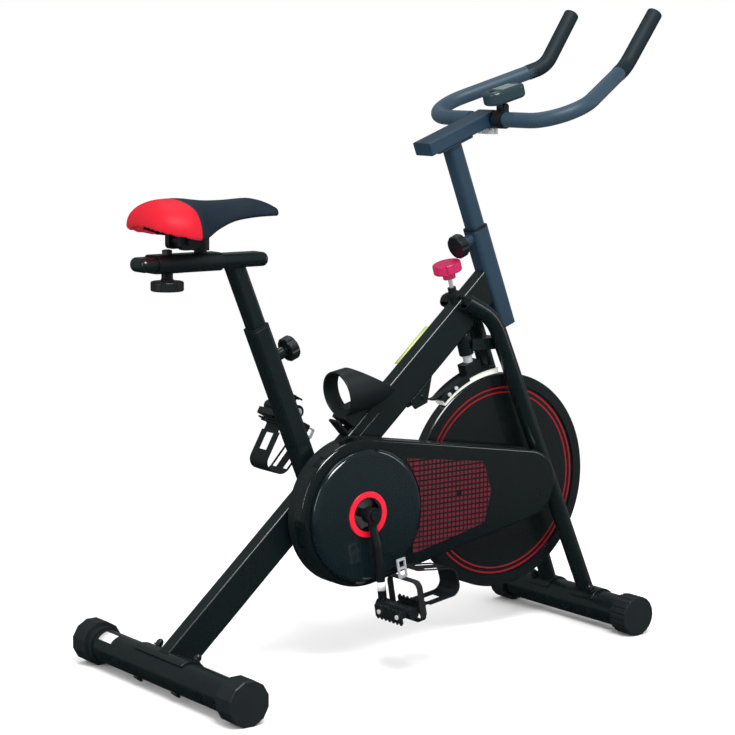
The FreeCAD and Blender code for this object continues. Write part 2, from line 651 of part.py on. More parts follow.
def toe_clip():
    """Basket that stands on the front plate and arches back over the toes."""
    middle = (PEDAL_IN + PEDAL_OUT) / 2
    start = CAGE_X + 3.2 + TOUCH
    points = [Vector(start, middle, -12), Vector(start, middle, 1), Vector(119, middle, -1),
              Vector(113, middle, 48), Vector(29, middle, 70)]
    clip = ribbon(points, [4, 18, 22], 56, 2.2)
    clip = clip.cut(box(50, 84, middle - 12, middle + 12, -9, 20))
    for y in (middle - 17, middle + 17):
        clip = clip.cut(box(48, 100, y - 7, y + 7, 34, 100))
    for y in (PEDAL_IN + ARM_OFFSET, PEDAL_OUT - ARM_OFFSET):
        clip = clip.cut(Part.makeCylinder(4.4, 20, Vector(CAGE_X - 2, y, 0), Vector(1, 0, 0)))
    return largest(clip)


def toe_strap():
    """Closed strap under the core and over the foot, with its buckle and free end standing on top."""
    inner_y, outer_y, low = PEDAL_IN - 1.3, PEDAL_OUT + 5, -18
    x_from, x_to = 9.5, 21.5

    def loop(extra, radius):
        block = box(x_from - 1, x_to + 1, inner_y - extra, outer_y + extra, low - extra, LOOP_TOP + extra)
        corners = [e for e in block.Edges if abs(e.tangentAt(e.FirstParameter).x) > 0.9]
        return block.makeFillet(radius, corners)

    strap = loop(2, 14).cut(loop(0, 12)).common(box(x_from, x_to, 0, 300, -50, 150))
    middle = (PEDAL_IN + PEDAL_OUT) / 2
    bottom = LOOP_TOP + 2 + TOUCH
    frame = box(x_from - 3, x_to + 3, middle - 2, middle + 2, bottom, bottom + 36)
    for z in (bottom + 4, bottom + 20):
        frame = frame.cut(box(x_from, x_to, middle - 3, middle + 3, z, z + 12))
    return group(strap, frame)


def place_pedal(shape, side, tilt):
    """Turns a pedal part about its spindle and moves it to its crank arm."""
    pedal = PEDAL_RIGHT if side == RIGHT else PEDAL_LEFT
    return lean(mirrored(shape) if side == RIGHT else shape, pedal, tilt)


# Flywheel -------------------------------------------------------------------------------------------------
def flywheel():
    rim = y_ring(WHEEL, -RIM_HALF, RIM_HALF, WHEEL_R, 186)
    rim = rim.makeChamfer(1.5, [e for e in rim.Edges if abs(e.Length - 2 * math.pi * WHEEL_R) < 1])
    web = y_rod(WHEEL, -9, 9, 187)
    hub = y_rod(WHEEL, -15.5, 15.5, 24)
    wheel = rim.fuse(web).fuse(hub)
    return wheel.cut(y_rod(WHEEL, -20, 20, AXLE_R + TOUCH))


def driven_pulley():
    radius = DRIVE_R / DRIVE_RATIO
    rim = y_rod(WHEEL, BELT_Y - 7, BELT_Y + 7, radius)
    hub = y_rod(WHEEL, BELT_Y - 8, -STAY_OUTER - 0.5, 13)
    return rim.fuse(hub).cut(y_rod(WHEEL, -70, 0, AXLE_R + TOUCH))


def wheel_axle():
    """Axle that turns with the wheel, with a nut near each end."""
    axle = y_rod(WHEEL, -62, 46, AXLE_R)
    right = along_y(hexagon(24, 8), WHEEL + Vector(0, BELT_Y - 8.1, 0), RIGHT)
    left = along_y(hexagon(24, 9), WHEEL + Vector(0, STAY_OUTER + 0.5, 0), LEFT)
    bore = y_rod(WHEEL, -80, 80, AXLE_R + TOUCH)
    return group(axle, right.cut(bore), left.cut(bore))


# Pull pins that lock the two posts ------------------------------------------------------------------------
BOSS_R, BOSS_END, PIN_R, PIN_BORE_R = 11, 33.5, 4, 6.3
SEAT = (SEAT_FOOT, SEAT_LEAN)
HEAD = (HEAD_POINT, HEAD_LEAN)
FORWARDS, REARWARDS = 1, -1


def x_rod(rise, facing, start, end, radius):
    """Rod at a height above a tube's origin, running out from its axis forwards or rearwards."""
    return Part.makeCylinder(radius, end - start, Vector(start * facing, 0, rise), Vector(facing, 0, 0))


def sleeve_with_boss(bottom, top, rise, facing):
    """Square sleeve on +Z with the threaded housing of a pull pin welded to one face."""
    sleeve = box_tube(SLEEVE, SLEEVE, top - bottom, 7, SLEEVE_WALL, bottom)
    sleeve = sleeve.fuse(x_rod(rise, facing, SLEEVE / 2 - 1, BOSS_END, BOSS_R))
    sleeve = sleeve.cut(x_rod(rise, facing, 10, BOSS_END - 2.5, PIN_BORE_R))
    return sleeve.cut(x_rod(rise, facing, 10, 40, PIN_R + SLIP))


def seat_tube():
    tube = lean(sleeve_with_boss(-60, SEAT_SLEEVE_TOP, PIN_RISE_SEAT, FORWARDS), *SEAT)
    return largest(tube.cut(beam_block(2 * SLEEVE)))


def head_tube():
    return lean(sleeve_with_boss(HEAD_SLEEVE_BOTTOM, HEAD_SLEEVE_TOP, PIN_RISE_HEAD, REARWARDS), *HEAD)


def pull_pin(rise, facing):
    """Pin with its collar, and the lobed hand knob on its outer end, before the tube's lean."""
    pin = x_rod(rise, facing, POST / 2 + 0.3, 46, PIN_R).fuse(x_rod(rise, facing, 19.6, 21, 6))
    knob = lobed_knob(22.5, 18, 8, 5, 40).fuse(z_rod(0, 0, 38.5, 41, 9))
    knob = knob.cut(z_rod(0, 0, 30, 46.02, PIN_R + TOUCH))
    knob.Placement = Placement(Vector(0, 0, rise), Rotation(Vector(0, 1, 0), 90 * facing))
    return group(pin, knob)


def pin_spring(rise, facing):
    coil = spring(5.1, 0.6, 9.4, 5)
    turn = Placement(Vector(21.2 * facing, 0, rise), Rotation(Vector(0, 1, 0), 90 * facing))
    coil.Placement = turn.multiply(coil.Placement)
    return coil


def post_bush(top, rise, facing):
    """Plastic liner in the top of a sleeve, with a collar above it."""
    inside = SLEEVE - 2 * SLEEVE_WALL - 2 * TOUCH
    liner = bar(inside, inside, 90, 5.2, top - 90).fuse(bar(SLEEVE, SLEEVE, 4, 7, top + TOUCH))
    liner = liner.cut(bar(POST + 2 * SLIP, POST + 2 * SLIP, 200, 6, top - 150))
    return liner.cut(x_rod(rise, facing, 10, 40, PIN_BORE_R))


def post_with_holes(bottom, top, rise, facing, holes_below, holes_above):
    """Square post tube with locking holes on one face, on +Z."""
    post = box_tube(POST, POST, top - bottom, 6, POST_WALL, bottom)
    for k in range(-holes_below, holes_above + 1):
        post = post.cut(x_rod(rise + k * HOLE_PITCH, facing, 10, 22, PIN_R + 0.3))
    return post


# Saddle side ----------------------------------------------------------------------------------------------
def rail_section(shrink, x_from, x_to):
    """Flat-oval bar along X, smaller than the rail by shrink all round."""
    radius = RAIL_DEPTH / 2 - shrink
    offset = (RAIL_WIDTH - RAIL_DEPTH) / 2
    low, high = RAIL_Z - radius, RAIL_Z + radius
    edges = [
        Part.makeLine(Vector(x_from, -offset, low), Vector(x_from, offset, low)),
        Part.Arc(Vector(x_from, offset, low), Vector(x_from, offset + radius, RAIL_Z),
                 Vector(x_from, offset, high)).toShape(),
        Part.makeLine(Vector(x_from, offset, high), Vector(x_from, -offset, high)),
        Part.Arc(Vector(x_from, -offset, high), Vector(x_from, -offset - radius, RAIL_Z),
                 Vector(x_from, -offset, low)).toShape(),
    ]
    return Part.Face(Part.Wire(edges)).extrude(Vector(x_to - x_from, 0, 0))


CAP_DEPTH = 11


def seat_post():
    """Post with the flat-oval rail welded across its top and a plastic cap in each end of the rail."""
    top = (RAIL_Z - SEAT_FOOT.z) / math.cos(math.radians(SEAT_LEAN))
    post = lean(post_with_holes(SEAT_SLEEVE_TOP - 170, top, PIN_RISE_SEAT, FORWARDS, 4, 4), *SEAT)
    post = post.cut(rail_section(0.5, RAIL_REAR, RAIL_FRONT)).cut(box(-600, 0, -60, 60, RAIL_Z, 900))
    rail = rail_section(0, RAIL_REAR + CAP_DEPTH, RAIL_FRONT - CAP_DEPTH)
    rail = rail.cut(rail_section(2, RAIL_REAR, RAIL_FRONT))
    half_slot = SLIDER_TRAVEL + 6
    slot = box(SLIDER_SCREW_X - half_slot, SLIDER_SCREW_X + half_slot, -5.6, 5.6, 700, 800)
    return group(rail.cut(slot).fuse(largest(post)), rail_cap(RAIL_REAR, 1), rail_cap(RAIL_FRONT, -1))


def rail_cap(end, inwards):
    """Rounded plastic cap pushed into one end of the rail."""
    def stretch(shrink, start, stop):
        low, high = sorted((end + inwards * start, end + inwards * stop))
        return rail_section(shrink, low, high)

    cap = stretch(0, 0, CAP_DEPTH - TOUCH)
    cap = cap.makeFillet(9, [e for e in cap.Edges if abs(e.CenterOfMass.x - end) < 0.1])
    return cap.fuse(stretch(2 + TOUCH, CAP_DEPTH - 2, CAP_DEPTH + 3))


def seat_slider():
    """Sleeve round the rail, open below where it passes the post, with its clamping screw and nut."""
    slider = rail_section(-3.5, SLIDER_REAR, SLIDER_FRONT)
    slider = slider.cut(rail_section(-0.4, SLIDER_REAR - 1, SLIDER_FRONT + 1))
    slider = slider.cut(box(SLIDER_SCREW_X + 22, SLIDER_FRONT + 1, -17, 17, 700, RAIL_Z))
    slider = slider.fuse(z_rod(STUB_X, 0, RAIL_Z + 13, 795, 11))
    slider = slider.fuse(z_rod(SLIDER_SCREW_X, 0, 722, RAIL_Z - 13.4, 10))
    bore = z_rod(SLIDER_SCREW_X, 0, 700, 800, 5 + TOUCH)
    nut = hexagon(17, 7, RAIL_Z + RAIL_DEPTH / 2 + 3.6)
    nut.translate(Vector(SLIDER_SCREW_X, 0, 0))
    return group(slider.cut(bore), nut.cut(bore), z_rod(SLIDER_SCREW_X, 0, 709, 772, 5))


def slider_knob():
    knob = lobed_knob(28.5, 17, 8, 6, 701).fuse(z_rod(0, 0, 716, 721.5, 11))
    knob.translate(Vector(SLIDER_SCREW_X, 0, 0))
    return knob.cut(z_rod(SLIDER_SCREW_X, 0, 708.9, 730, 5 + SLIP))


def saddle_clamp():
    """Ring on the saddle stub with a round ear behind it, and the tilt bolt and nuts in the ear."""
    ear = 13
    body = z_rod(STUB_X, 0, 768, 797, 15.5).fuse(y_rod(TILT_PIVOT, -ear, ear, ear))
    body = body.fuse(box(TILT_PIVOT.x, STUB_X, -ear, ear, TILT_PIVOT.z - ear, TILT_PIVOT.z + 11))
    body = body.cut(z_rod(STUB_X, 0, 700, 820, 11 + TOUCH)).cut(y_rod(TILT_PIVOT, -30, 30, 4 + TOUCH))
    nut = along_y(hexagon(13, 6), TILT_PIVOT + Vector(0, 26.2, 0), LEFT)
    return group(body, y_rod(TILT_PIVOT, -31, 31, 4).fuse(nut).fuse(mirrored(nut)))


RAIL_ROD_Y, RAIL_ROD_R = 21, 3.5


def rail_rod(radius):
    """Left rail: up to the pad behind the clamp, level through it, then up into the nose."""
    y = RAIL_ROD_Y
    points = [Vector(-510, y + 12, 809), Vector(-480, y, 798), Vector(-430, y, 798),
              Vector(-398, y - 3, 824), Vector(-318, y - 9, 838)]
    return pipe(points, [14, 14, 20], radius)


def saddle_rails():
    """Two round rails under the saddle, and the clamp cheeks that grip them and turn on the tilt bolt."""
    rail = rail_rod(RAIL_ROD_R)
    cheek = box(TILT_PIVOT.x - 17, TILT_PIVOT.x + 17, 13.2, 26, 771, 803)
    cheek = cheek.makeFillet(8, [e for e in cheek.Edges if abs(e.tangentAt(e.FirstParameter).y) > 0.9])
    cheek = cheek.cut(y_rod(TILT_PIVOT, 0, 40, 4 + SLIP)).cut(rail_rod(RAIL_ROD_R + TOUCH))
    return group(rail, mirrored(rail), cheek, mirrored(cheek))


def saddle_section(x, half_width, low, high):
    """Ellipse in a plane of constant x."""
    middle = (low + high) / 2
    half_height = (high - low) / 2
    long_axis, short_axis = max(half_width, half_height), min(half_width, half_height)
    ellipse = Part.Ellipse(Vector(0, 0, 0), long_axis, short_axis)
    wire = Part.Wire([ellipse.toShape()])
    turn = Rotation(Vector(0, 1, 0), Vector(0, 0, 1), Vector(1, 0, 0))
    wire.Placement = Placement(Vector(x, 0, middle), turn)
    return wire


def saddle_pad():
    stations = [(-538, 46, 822, 842), (-520, 74, 814, 856), (-480, 84, 812, 861), (-430, 70, 814, 858),
                (-380, 46, 818, 855), (-330, 30, 822, 857), (-285, 24, 823, 852), (-258, 12, 822, 836)]
    pad = Part.makeLoft([saddle_section(*station) for station in stations], True)
    return largest(pad.cut(rail_rod(RAIL_ROD_R + TOUCH)).cut(mirrored(rail_rod(RAIL_ROD_R + TOUCH))))


# Handlebar side -------------------------------------------------------------------------------------------
STEM_WIDTH, STEM_HEIGHT = 50, 25
STEM_RISE = 230             # from HEAD_POINT along the head tube to the stem's centre line
STEM_REAR, STEM_FRONT = -62, 100
STEM_CENTRE = leaned_point(HEAD_POINT, HEAD_LEAN, STEM_RISE)
BAR_CENTRE = Vector(BAR_X, 0, BAR_Z)
CLAMP_R, CLAMP_HALF = 17.5, 21
BAR_CORNER, BAR_ELBOW, BAR_TIP = Vector(BAR_X, 230, BAR_Z), Vector(463, 114, 1083), Vector(532.6, 117.6, 1184)
CORNER_R, ELBOW_R = 72, 55
HEAD_BOLTS, CLAMP_BOLTS = (-29, 29), (-12, 12)


def handlebar_post():
    """Post with a plate welded on top that is bolted up into the stem."""
    plate_top = STEM_RISE - STEM_HEIGHT / 2 - TOUCH
    post = post_with_holes(HEAD_SLEEVE_BOTTOM + 4, plate_top - 3, PIN_RISE_HEAD, REARWARDS, 4, 0)
    plate = bar(80, 44, 4, 6, plate_top - 4)
    for x in HEAD_BOLTS:
        plate = plate.cut(z_rod(x, 0, plate_top - 10, plate_top + 10, 3.2))
    return lean(post.fuse(plate), *HEAD)


def head_bolts():
    bolts = []
    underside = STEM_RISE - STEM_HEIGHT / 2 - 4 - 2 * TOUCH
    for x in HEAD_BOLTS:
        head = hexagon(11, 5, underside - 5)
        head.translate(Vector(x, 0, 0))
        bolts.append(lean(head.fuse(z_rod(x, 0, underside - 1, underside + 12, 3)), *HEAD))
    return bolts


def clamp_bolts():
    bolts = []
    for y in CLAMP_BOLTS:
        place = Vector(BAR_X - 8, y, BAR_Z - 22.5)
        shank = Part.makeCylinder(2.5, 20, place, Vector(1, 0, 0))
        head = Part.makeCylinder(4.6, 4, place + Vector(17.1, 0, 0), Vector(1, 0, 0))
        nut = Part.makeCylinder(4.6, 3.4, place + Vector(-0.5, 0, 0), Vector(1, 0, 0))
        bolts.append(shank.fuse(head).fuse(nut))
    return bolts


def stem():
    """Box tube with the handlebar's split clamp welded to its front end, a plug behind, and its bolts."""
    tube = box_tube(STEM_HEIGHT, STEM_WIDTH, STEM_FRONT - STEM_REAR, 3, 2, STEM_REAR)
    tube = lean(tube, STEM_CENTRE, STEM_LEAN)
    for x in HEAD_BOLTS:
        tube = tube.cut(lean(z_rod(x, 0, STEM_RISE - 20, STEM_RISE - 2, 3.2), *HEAD))
    tube = largest(tube.cut(y_rod(BAR_CENTRE, -60, 60, CLAMP_R - 1)))
    clamp = y_ring(BAR_CENTRE, -CLAMP_HALF, CLAMP_HALF, CLAMP_R, BAR_R + TOUCH)
    ears = box(BAR_X - 5, BAR_X + 9, -CLAMP_HALF, CLAMP_HALF, BAR_Z - 28, BAR_Z - 12)
    clamp = clamp.fuse(ears).fuse(tube).cut(y_rod(BAR_CENTRE, -60, 60, BAR_R + TOUCH))
    clamp = clamp.cut(box(BAR_X + 1, BAR_X + 3, -60, 60, BAR_Z - 40, BAR_Z))
    for y in CLAMP_BOLTS:
        clamp = clamp.cut(Part.makeCylinder(2.7, 20, Vector(BAR_X - 8, y, BAR_Z - 22.5), Vector(1, 0, 0)))
    plug = bar(STEM_HEIGHT, STEM_WIDTH, 3, 3, STEM_REAR - 3 - TOUCH)
    plug = plug.fuse(bar(STEM_HEIGHT - 4.1, STEM_WIDTH - 4.1, 12, 1, STEM_REAR - 1))
    return group(clamp, lean(plug, STEM_CENTRE, STEM_LEAN), *head_bolts(), *clamp_bolts())


def mirror_point(point):
    return Vector(point.x, -point.y, point.z)


def handlebar():
    points = [mirror_point(p) for p in (BAR_TIP, BAR_ELBOW, BAR_CORNER)] + [BAR_CORNER, BAR_ELBOW, BAR_TIP]
    radii = [ELBOW_R, CORNER_R, CORNER_R, ELBOW_R]
    return pipe(points, radii, BAR_R).cut(pipe(points, radii, BAR_R - BAR_WALL))


def foam_split():
    """Point on the left arm where the foam sleeve ends and the grip starts."""
    return BAR_ELBOW + (BAR_CORNER - BAR_ELBOW).normalize() * 38


def bar_foam():
    """Foam sleeves on the crossbar and grips on the raised ends."""
    sleeves = []
    for start_y, side in ((45, LEFT), (57, RIGHT)):
        points = [BAR_CENTRE + Vector(0, start_y, 0), BAR_CORNER, foam_split()]
        sleeve = pipe(points, [CORNER_R], FOAM_R).cut(pipe(points, [CORNER_R], BAR_R + TOUCH))
        sleeves.append(sleeve if side == LEFT else mirrored(sleeve))
    upwards = (BAR_TIP - BAR_ELBOW).normalize()
    end = BAR_TIP + upwards * 4
    start = foam_split() + (BAR_ELBOW - foam_split()).normalize() * 0.3
    grip = pipe([start, BAR_ELBOW, end], [ELBOW_R], GRIP_R)
    grip = grip.makeFillet(5, [e for e in grip.Edges if e.Closed and (e.CenterOfMass - end).Length < 1])
    grip = grip.cut(pipe([start, BAR_ELBOW, BAR_TIP + upwards * TOUCH], [ELBOW_R], BAR_R + TOUCH))
    return group(*sleeves, grip, mirrored(grip))


CONSOLE_Y, CONSOLE_TILT = -42, -15
CONSOLE_PIVOT = Vector(222, CONSOLE_Y, 1009)
CONSOLE_LENGTH, CONSOLE_WIDTH, CONSOLE_BASE, CONSOLE_TOP = 84, 48, 8, 34
CONSOLE_SHIFT = 8           # the case reaches further forwards than rearwards of its hinge
BUTTON_X, SCREEN_X = CONSOLE_SHIFT - 27, CONSOLE_SHIFT + 8


def console_bracket():
    """Snap ring on the handlebar with two ears and the console's hinge pin."""
    half = 11
    low, high = CONSOLE_Y - half, CONSOLE_Y + half
    x, z = CONSOLE_PIVOT.x, CONSOLE_PIVOT.z
    ears = box(x - 6, x + 6, low, high, BAR_Z + 11, z).fuse(y_rod(CONSOLE_PIVOT, low, high, 6))
    ears = ears.cut(box(x - 9, x + 9, CONSOLE_Y - 7, CONSOLE_Y + 7, BAR_Z + 17, z + 10))
    bracket = y_ring(BAR_CENTRE, low, high, 17, BAR_R + TOUCH).fuse(ears)
    bracket = bracket.cut(y_rod(BAR_CENTRE, low - 1, high + 1, BAR_R + TOUCH))
    bracket = bracket.cut(y_rod(CONSOLE_PIVOT, low - 1, high + 1, 2.5 + TOUCH))
    return group(bracket, y_rod(CONSOLE_PIVOT, low, high, 2.5))


def console_body():
    """Case with a hinge tongue below it and the screen let into its upper face."""
    length, width = CONSOLE_LENGTH, CONSOLE_WIDTH
    case = bar(length, width, CONSOLE_TOP - CONSOLE_BASE, 20, CONSOLE_BASE)
    case = case.makeFillet(7, [e for e in case.Edges if e.BoundBox.ZLength < 0.01])
    case.translate(Vector(CONSOLE_SHIFT, 0, 0))
    tongue = box(-5, 5, -6.8, 6.8, 0, CONSOLE_BASE + 2).fuse(y_rod(ORIGIN, -6.8, 6.8, 5.5))
    case = case.fuse(tongue).cut(y_rod(ORIGIN, -20, 20, 2.5 + SLIP))
    case = case.cut(box(SCREEN_X - 20, SCREEN_X + 20, -16, 16, CONSOLE_TOP - 1.6, CONSOLE_TOP + 1))
    case = case.cut(z_rod(BUTTON_X, 0, CONSOLE_TOP - 8, CONSOLE_TOP + 1, 5.3))
    screen = box(SCREEN_X - 19.95, SCREEN_X + 19.95, -15.95, 15.95, CONSOLE_TOP - 1.55, CONSOLE_TOP - 0.3)
    return lean(group(case, screen), CONSOLE_PIVOT, CONSOLE_TILT)


def console_button():
    return lean(z_rod(BUTTON_X, 0, CONSOLE_TOP - 6, CONSOLE_TOP + 1, 5), CONSOLE_PIVOT, CONSOLE_TILT)


# Brake ----------------------------------------------------------------------------------------------------
KNOB_Z = 180                # underside of the brake knob, along the rod from the plunger's tip
PAD_START, PAD_END = 93, 131.5
PAD_INNER = WHEEL_R + PAD_GAP
PAD_OUTER = PAD_INNER + 11
SHOE_START, SHOE_END = 95, 131
SHOE_DEPTH = 8
PAD_SCREWS = (121.5, 126.5)


def brake_screw():
    """Threaded rod with its hand knob; turning it sets the pad's load, pressing it brakes."""
    top = KNOB_Z + 16
    knob = lobed_knob(27, 19, 8, 5, KNOB_Z).fuse(z_rod(0, 0, KNOB_Z - 12, KNOB_Z + 1, 12))
    knob = knob.cut(z_rod(0, 0, 150, top + TOUCH, 4 + TOUCH))
    rod = z_rod(0, 0, 24, top, 4)
    return lean(group(rod, knob), BRAKE_TIP, BRAKE_LEAN)


def brake_plunger():
    """Plunger in the guide tube that the rod screws into."""
    plunger = z_rod(0, 0, GUIDE_START - 2, 30, GUIDE_BORE_R - SLIP).fuse(z_rod(0, 0, 0.3, GUIDE_START, 9))
    return lean(plunger.cut(z_rod(0, 0, 22, 40, 4 + SLIP)), BRAKE_TIP, BRAKE_LEAN)


def brake_spring():
    coil = spring(8.2, 0.8, 21.5, 5)
    coil.translate(Vector(0, 0, 30.2))
    return lean(coil, BRAKE_TIP, BRAKE_LEAN)


def brake_pad():
    return arc_band(WHEEL, PAD_INNER, PAD_OUTER, PAD_START, PAD_END, -12, 12)


def round_wheel(degrees, radius):
    """Point above the wheel in its middle plane."""
    angle = math.radians(degrees)
    return WHEEL + Vector(math.cos(angle), 0, math.sin(angle)) * radius


def brake_arm():
    """Curved shoe that grips the felt, its screws, and the leaf from it to the pivot under the beam."""
    outside = PAD_OUTER + SHOE_DEPTH
    shoe = arc_band(WHEEL, PAD_OUTER + TOUCH, PAD_OUTER + 4, SHOE_START, SHOE_END, -14, 14)
    flange = arc_band(WHEEL, PAD_OUTER - 5, outside, 112, SHOE_END, 12 + TOUCH, 14)
    block = lean(bar(38, 24, 30, 2, -30.3), BRAKE_TIP, BRAKE_LEAN).cut(y_rod(WHEEL, -40, 40, PAD_OUTER + 1))
    bend = round_wheel(134, PAD_OUTER + 13)
    leaf = ribbon([ARM_PIVOT, bend, round_wheel(120, PAD_OUTER + 2.6)], [24], 16, 3)
    arm = shoe.fuse([flange, mirrored(flange), block, leaf, y_rod(ARM_PIVOT, -9, 9, 8)])
    arm = arm.cut(y_rod(WHEEL, -11.9, 11.9, PAD_OUTER + TOUCH)).cut(y_rod(ARM_PIVOT, -20, 20, 4 + SLIP))
    screws = []
    for degrees in PAD_SCREWS:
        place = round_wheel(degrees, PAD_OUTER + 1)
        arm = arm.cut(y_rod(place, -20, 20, 2.1))
        screw = y_rod(place, 14.05, 16.5, 3.8).fuse(y_rod(place, 12.1, 15, 2))
        screws += [screw, mirrored(screw)]
    return group(largest(arm), *screws)


# Bottle cage ----------------------------------------------------------------------------------------------
CAGE_LOW, CAGE_HIGH, BOTTLE_R = 536, 658, 39
HOOP_CENTRE, HOOP_LEAN = Vector(-109, 0, 495), 80
HOOP_HALF, HOOP_WALL = 16, 4
CAGE_SCREWS = (CAGE_LOW + 12, CAGE_HIGH - 9)


def bottle_cage():
    """Strip on the beam's top face with a lip below, and a cradle that carries a wide hoop."""
    face = BEAM_DEPTH / 2 + TOUCH
    strip = box(-face - 3, -face, -14, 14, CAGE_LOW, CAGE_HIGH)
    lip = box(-face - 36, -face, -14, 14, CAGE_LOW, CAGE_LOW + 4)
    cradle = box(-face - 34, -face, -24, 24, CAGE_LOW + 20, CAGE_HIGH - 18)
    for z in CAGE_SCREWS:
        strip = strip.cut(Part.makeCylinder(2.7, 30, Vector(-60, 0, z), Vector(1, 0, 0)))
    cage = lean(strip.fuse([lip, cradle]), REAR, BEAM_LEAN)
    hoop = z_rod(0, 0, -HOOP_HALF, HOOP_HALF, BOTTLE_R + HOOP_WALL)
    cage = cage.fuse(lean(hoop, HOOP_CENTRE, HOOP_LEAN))
    return largest(cage.cut(lean(z_rod(0, 0, -60, 90, BOTTLE_R), HOOP_CENTRE, HOOP_LEAN)))


def cage_screws():
    face = BEAM_DEPTH / 2 + 3 + 3 * TOUCH
    screws = []
    for z in CAGE_SCREWS:
        head = Part.makeCylinder(4.5, 3, Vector(-face - 3, 0, z), Vector(1, 0, 0))
        shank = Part.makeCylinder(2.5, 3, Vector(-face - 0.5, 0, z), Vector(1, 0, 0))
        screws.append(lean(head.fuse(shank), REAR, BEAM_LEAN))
    return group(*screws)


# Export -----------------------------------------------------------------------------------------------------
RIGHT_PEDAL_TILT, LEFT_PEDAL_TILT = -10, 118


def pedal_parts():
    nodes = {}
    for name, shape in (("pedal", pedal_body()), ("toe_clip", toe_clip()), ("toe_strap", toe_strap())):
        nodes[name + "_right"] = place_pedal(shape, RIGHT, RIGHT_PEDAL_TILT)
        nodes[name + "_left"] = place_pedal(shape, LEFT, LEFT_PEDAL_TILT)
    return nodes


def parts():
    """Every sub-part by node name."""
    seat_bush = lean(post_bush(SEAT_SLEEVE_TOP, PIN_RISE_SEAT, FORWARDS), *SEAT)
    head_bush = lean(post_bush(HEAD_SLEEVE_TOP, PIN_RISE_HEAD, REARWARDS), *HEAD)
    return {
        "main_beam": main_beam(),
        "seat_tube": seat_tube(),
        "head_tube": head_tube(),
        "fork_legs": fork_legs(),
        "fork_brace": fork_brace(),
        "saddle_plates": saddle_plates(),
        "rear_stabiliser": stabiliser(REAR, REAR_LENGTH - 18, REAR_BOLT_TILT, REAR_BOLT_Y),
        "front_stabiliser": front_stabiliser(),
        "stabiliser_fasteners": stabiliser_fasteners(),
        "bottom_bracket": bottom_bracket(),
        "wheel_stays": wheel_stays(),
        "ball_bearings": ball_bearings(),
        "brake_lug": brake_lug(),
        "plastic_bushes": group(seat_bush, head_bush, brake_ferrule()),
        "levelling_cap_right": levelling_cap(RIGHT),
        "levelling_cap_left": levelling_cap(LEFT),
        "roller_cap_right": roller_cap(RIGHT),
        "roller_cap_left": roller_cap(LEFT),
        "guard_outer": guard_outer(),
        "guard_inner": guard_inner(),
        "guard_screws": guard_screws(),
        "guard_disc": guard_disc(),
        "guard_ring": guard_ring(),
        "louvre_panel": louvre_panel(),
        "bottle_cage": group(bottle_cage(), cage_screws()),
        "spindles": group(crank_spindle(), pedal_spindles()),
        "crank_arm_right": crank_arm(RIGHT),
        "crank_arm_left": crank_arm(LEFT),
        "drive_pulley": drive_pulley(),
        "drive_belt": drive_belt(),
        **pedal_parts(),
        "flywheel": flywheel(),
        "wheel_axle": group(wheel_axle(), driven_pulley()),
        "seat_post": seat_post(),
        "seat_pin": lean(pull_pin(PIN_RISE_SEAT, FORWARDS), *SEAT),
        "seat_pin_spring": lean(pin_spring(PIN_RISE_SEAT, FORWARDS), *SEAT),
        "seat_slider": seat_slider(),
        "slider_knob": slider_knob(),
        "saddle_clamp": saddle_clamp(),
        "saddle_rails": saddle_rails(),
        "saddle_pad": saddle_pad(),
        "handlebar_post": handlebar_post(),
        "handlebar_pin": lean(pull_pin(PIN_RISE_HEAD, REARWARDS), *HEAD),
        "handlebar_pin_spring": lean(pin_spring(PIN_RISE_HEAD, REARWARDS), *HEAD),
        "stem": stem(),
        "handlebar": handlebar(),
        "bar_foam": bar_foam(),
        "console_bracket": console_bracket(),
        "console_body": console_body(),
        "console_button": console_button(),
        "brake_screw": brake_screw(),
        "brake_plunger": brake_plunger(),
        "brake_spring": brake_spring(),
        "brake_pad": brake_pad(),
        "brake_arm": brake_arm(),
    }


def build():
    os.makedirs("parts", exist_ok=True)
    for name, shape in parts().items():
        export(name, shape)


build()
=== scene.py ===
"""Looks of the indoor spin bike, built round its CAD frame. Metres, +X forwards, +Y left, +Z up."""
import math

import bmesh
import bpy
from mathutils import Matrix, Vector


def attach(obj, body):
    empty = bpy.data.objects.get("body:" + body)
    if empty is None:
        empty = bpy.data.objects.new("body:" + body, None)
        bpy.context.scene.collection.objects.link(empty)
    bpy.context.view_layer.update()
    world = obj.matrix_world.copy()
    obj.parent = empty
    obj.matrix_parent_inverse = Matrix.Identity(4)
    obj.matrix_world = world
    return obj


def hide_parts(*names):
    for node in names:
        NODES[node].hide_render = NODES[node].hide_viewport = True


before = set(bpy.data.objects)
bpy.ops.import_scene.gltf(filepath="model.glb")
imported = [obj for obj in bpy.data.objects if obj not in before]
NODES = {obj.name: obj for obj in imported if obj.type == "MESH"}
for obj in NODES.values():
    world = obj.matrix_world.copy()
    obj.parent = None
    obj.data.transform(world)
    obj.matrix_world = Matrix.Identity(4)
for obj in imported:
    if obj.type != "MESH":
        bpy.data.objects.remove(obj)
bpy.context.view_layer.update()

MM = 0.001

